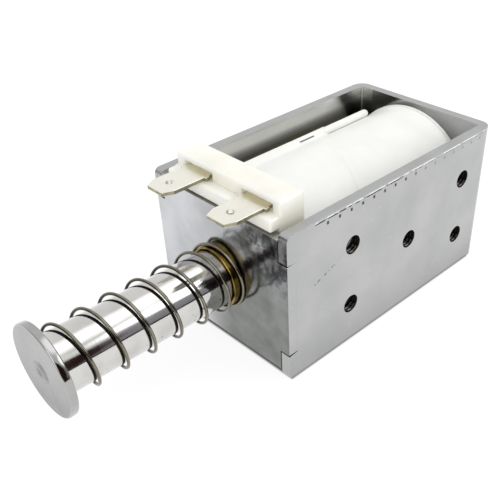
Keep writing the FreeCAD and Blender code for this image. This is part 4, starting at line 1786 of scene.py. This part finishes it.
@dataclass
class Studio:
    """White table, soft lights and the camera. Lengths are in millimetres, angles in degrees."""

    camera_place: Place = (-83.573, -90.798, 96.787)
    camera_turn: Place = (53.946, 1.3146, -44.4203)
    lens: float = 52.131
    sensor: float = 36.0
    shift: Point = (-0.06987, 0.05879)
    table_half: float = 1200.0
    table_drop: float = 0.02
    board: str = "#7C7C7C"
    board_glow: float = 0.85
    painted_contact_shadow: str = "#3C3C3C"
    footprint: tuple[Point, Point] = ((-13.72, -18.35), (43.8, 18.35))
    footprint_edge: Point = (-0.15, 0.4)
    fill_place: Place = (-190.0, -620.0, 180.0)
    fill_power: float = 1.5
    fill_size: float = 500.0
    wall: str = "#FAFAFA"
    sky: tuple[tuple[float, str], ...] = (
        (0.0, "#060606"), (0.05, "#0C0C0C"), (0.075, "#8E8C92"), (0.42, "#A6A5AA"), (0.6, "#E6E6E6"), (1.0, "#F8F8F8"),
    )
    # Each patch of the surroundings: its middle, where it starts to fade, where it is gone, and its light
    patches: tuple[tuple[Place, float, float, tuple[float, ...]], ...] = (
        ((0.35, 0.85, 0.4), 40, 70, (0.93, 0.93, 0.93, 1)),
        ((0.42, -0.1, 0.9), 8, 28, (1.8, 1.8, 1.8, 1)),
        ((-0.75, -0.35, 0.55), 16, 28, (2.0, 2.0, 2.0, 1)),
        ((0.556, -0.588, 0.587), 9, 18, (3.0, 3.0, 2.95, 1)),
        ((-0.1815, -0.9336, 0.309), 30, 32, (0.03, 0.014, 0.011, 1)),
    )

    def camera(self) -> None:
        """Set up the camera at the photograph's angle."""
        data = bpy.data.cameras.new("camera")
        data.lens = self.lens
        data.sensor_width = self.sensor
        data.shift_x, data.shift_y = self.shift
        data.clip_start, data.clip_end = 0.01, 20
        camera = bpy.data.objects.new("camera", data)
        camera.location = [value * MM for value in self.camera_place]
        camera.rotation_euler = [math.radians(value) for value in self.camera_turn]
        bpy.context.scene.collection.objects.link(camera)
        bpy.context.scene.camera = camera

    def floor(self) -> None:
        """Lay a large white table that glows evenly, with a painted contact shadow just round the frame's footprint."""
        mesh = bmesh.new()
        bmesh.ops.create_grid(mesh, x_segments=2, y_segments=2, size=self.table_half * MM)
        data = bpy.data.meshes.new("table")
        mesh.to_mesh(data)
        mesh.free()
        surface = Surface("table_white_board")
        # Painted contact shadow: the glow darkens just round the frame's footprint
        (front, _), (rear, side) = self.footprint
        beside = surface.add(Kind.SUBTRACT, surface.along, (front + rear) / 2 * MM)
        beside = surface.add(Kind.SUBTRACT, surface.add(Kind.ABSOLUTE, beside), (rear - front) / 2 * MM)
        beyond = surface.add(Kind.SUBTRACT, surface.add(Kind.ABSOLUTE, surface.across), side * MM)
        inner, outer = self.footprint_edge
        shade = surface.add(Kind.RANGE, surface.add(Kind.LARGER, beside, beyond), inner * MM, outer * MM, 0.0, 1.0)
        glow = surface.add(Kind.RAMP, shade, stops=[(0.0, self.painted_contact_shadow), (1.0, "#FFFFFF")])
        data.materials.append(surface.dress(Base_Color=linear(self.board), Roughness=0.9, Specular_IOR_Level=0.1,
                                            Emission_Color=glow, Emission_Strength=self.board_glow))
        table = bpy.data.objects.new("table", data)
        table.location.z = -self.table_drop * MM
        bpy.context.scene.collection.objects.link(table)

    def fill(self) -> None:
        """Hang a large soft lamp that lights the white parts and leaves no glint on metal."""
        data = bpy.data.lights.new("fill", "AREA")
        data.energy = self.fill_power
        data.size = self.fill_size * MM
        lamp = bpy.data.objects.new("fill", data)
        lamp.location = [value * MM for value in self.fill_place]
        lamp.rotation_euler = lamp.location.to_track_quat("Z", "Y").to_euler()
        lamp.visible_glossy = False
        bpy.context.scene.collection.objects.link(lamp)

    def patch(self, tree: bpy.types.NodeTree, way: Socket, aim: Place,
              inner: float, outer: float) -> Socket:
        """Mark a round patch of the surroundings.

        Args:
            tree: Node tree of the world.
            way: Direction that is looked up.
            aim: Direction of the patch's middle.
            inner: Angle from the middle at which it starts to fade, in degrees.
            outer: Angle at which it is gone.

        Returns:
            One inside the patch and zero outside.
        """
        near = add_node(tree, Kind.TOWARDS, way, tuple(Vector(aim).normalized())).outputs["Value"]
        edges = math.cos(math.radians(outer)), math.cos(math.radians(inner))
        return live_output(add_node(tree, Kind.SOFT_RANGE, near, *edges))

    def world(self) -> None:
        """Surround the table with soft boxes and dark gaps that only gloss shows; behind them all is pale."""
        world = bpy.data.worlds.new("studio")
        world.use_nodes = True
        tree = world.node_tree
        tree.nodes.clear()
        way = add_node(tree, Kind.PLACE).outputs["Generated"]
        height = add_node(tree, Kind.AXES, way).outputs[2]
        colour = live_output(add_node(tree, Kind.RAMP, height, stops=self.sky))
        for aim, inner, outer, glow in self.patches:
            share = self.patch(tree, way, aim, inner, outer)
            colour = live_output(add_node(tree, Kind.BLEND, share, colour, glow))
        # The camera itself sees a plain pale wall above the table
        seen = add_node(tree, Kind.RAY).outputs["Is Camera Ray"]
        colour = live_output(add_node(tree, Kind.BLEND, seen, colour, linear(self.wall)))
        add_node(tree, Kind.WORLD, add_node(tree, Kind.SKY, colour, 1.0).outputs[0])
        bpy.context.scene.world = world

    def build(self) -> None:
        """Make the studio."""
        self.camera()
        self.floor()
        self.fill()
        self.world()
        bpy.context.scene.view_settings.view_transform = "Standard"


def main() -> None:
    """Build the solenoid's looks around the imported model, piece by piece."""
    logging.basicConfig(level=logging.INFO, format="%(name)s %(message)s")
    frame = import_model()
    Studio().build()
    palette = Palette()
    dress_nodes(frame["nodes"], palette)
    SteelFrame(palette).build()
    Bobbin(palette).build()
    Coil(palette).build()
    Terminal(palette, "blade_left", "terminal_left", 8.0, 7.2).build()
    Terminal(palette, "blade_right", "terminal_right", -8.0, 6.5).build()
    GuideTube(palette).build()
    PlungerSet(palette).build()
    Spring(palette).build()


if __name__ == "__main__":
    main()
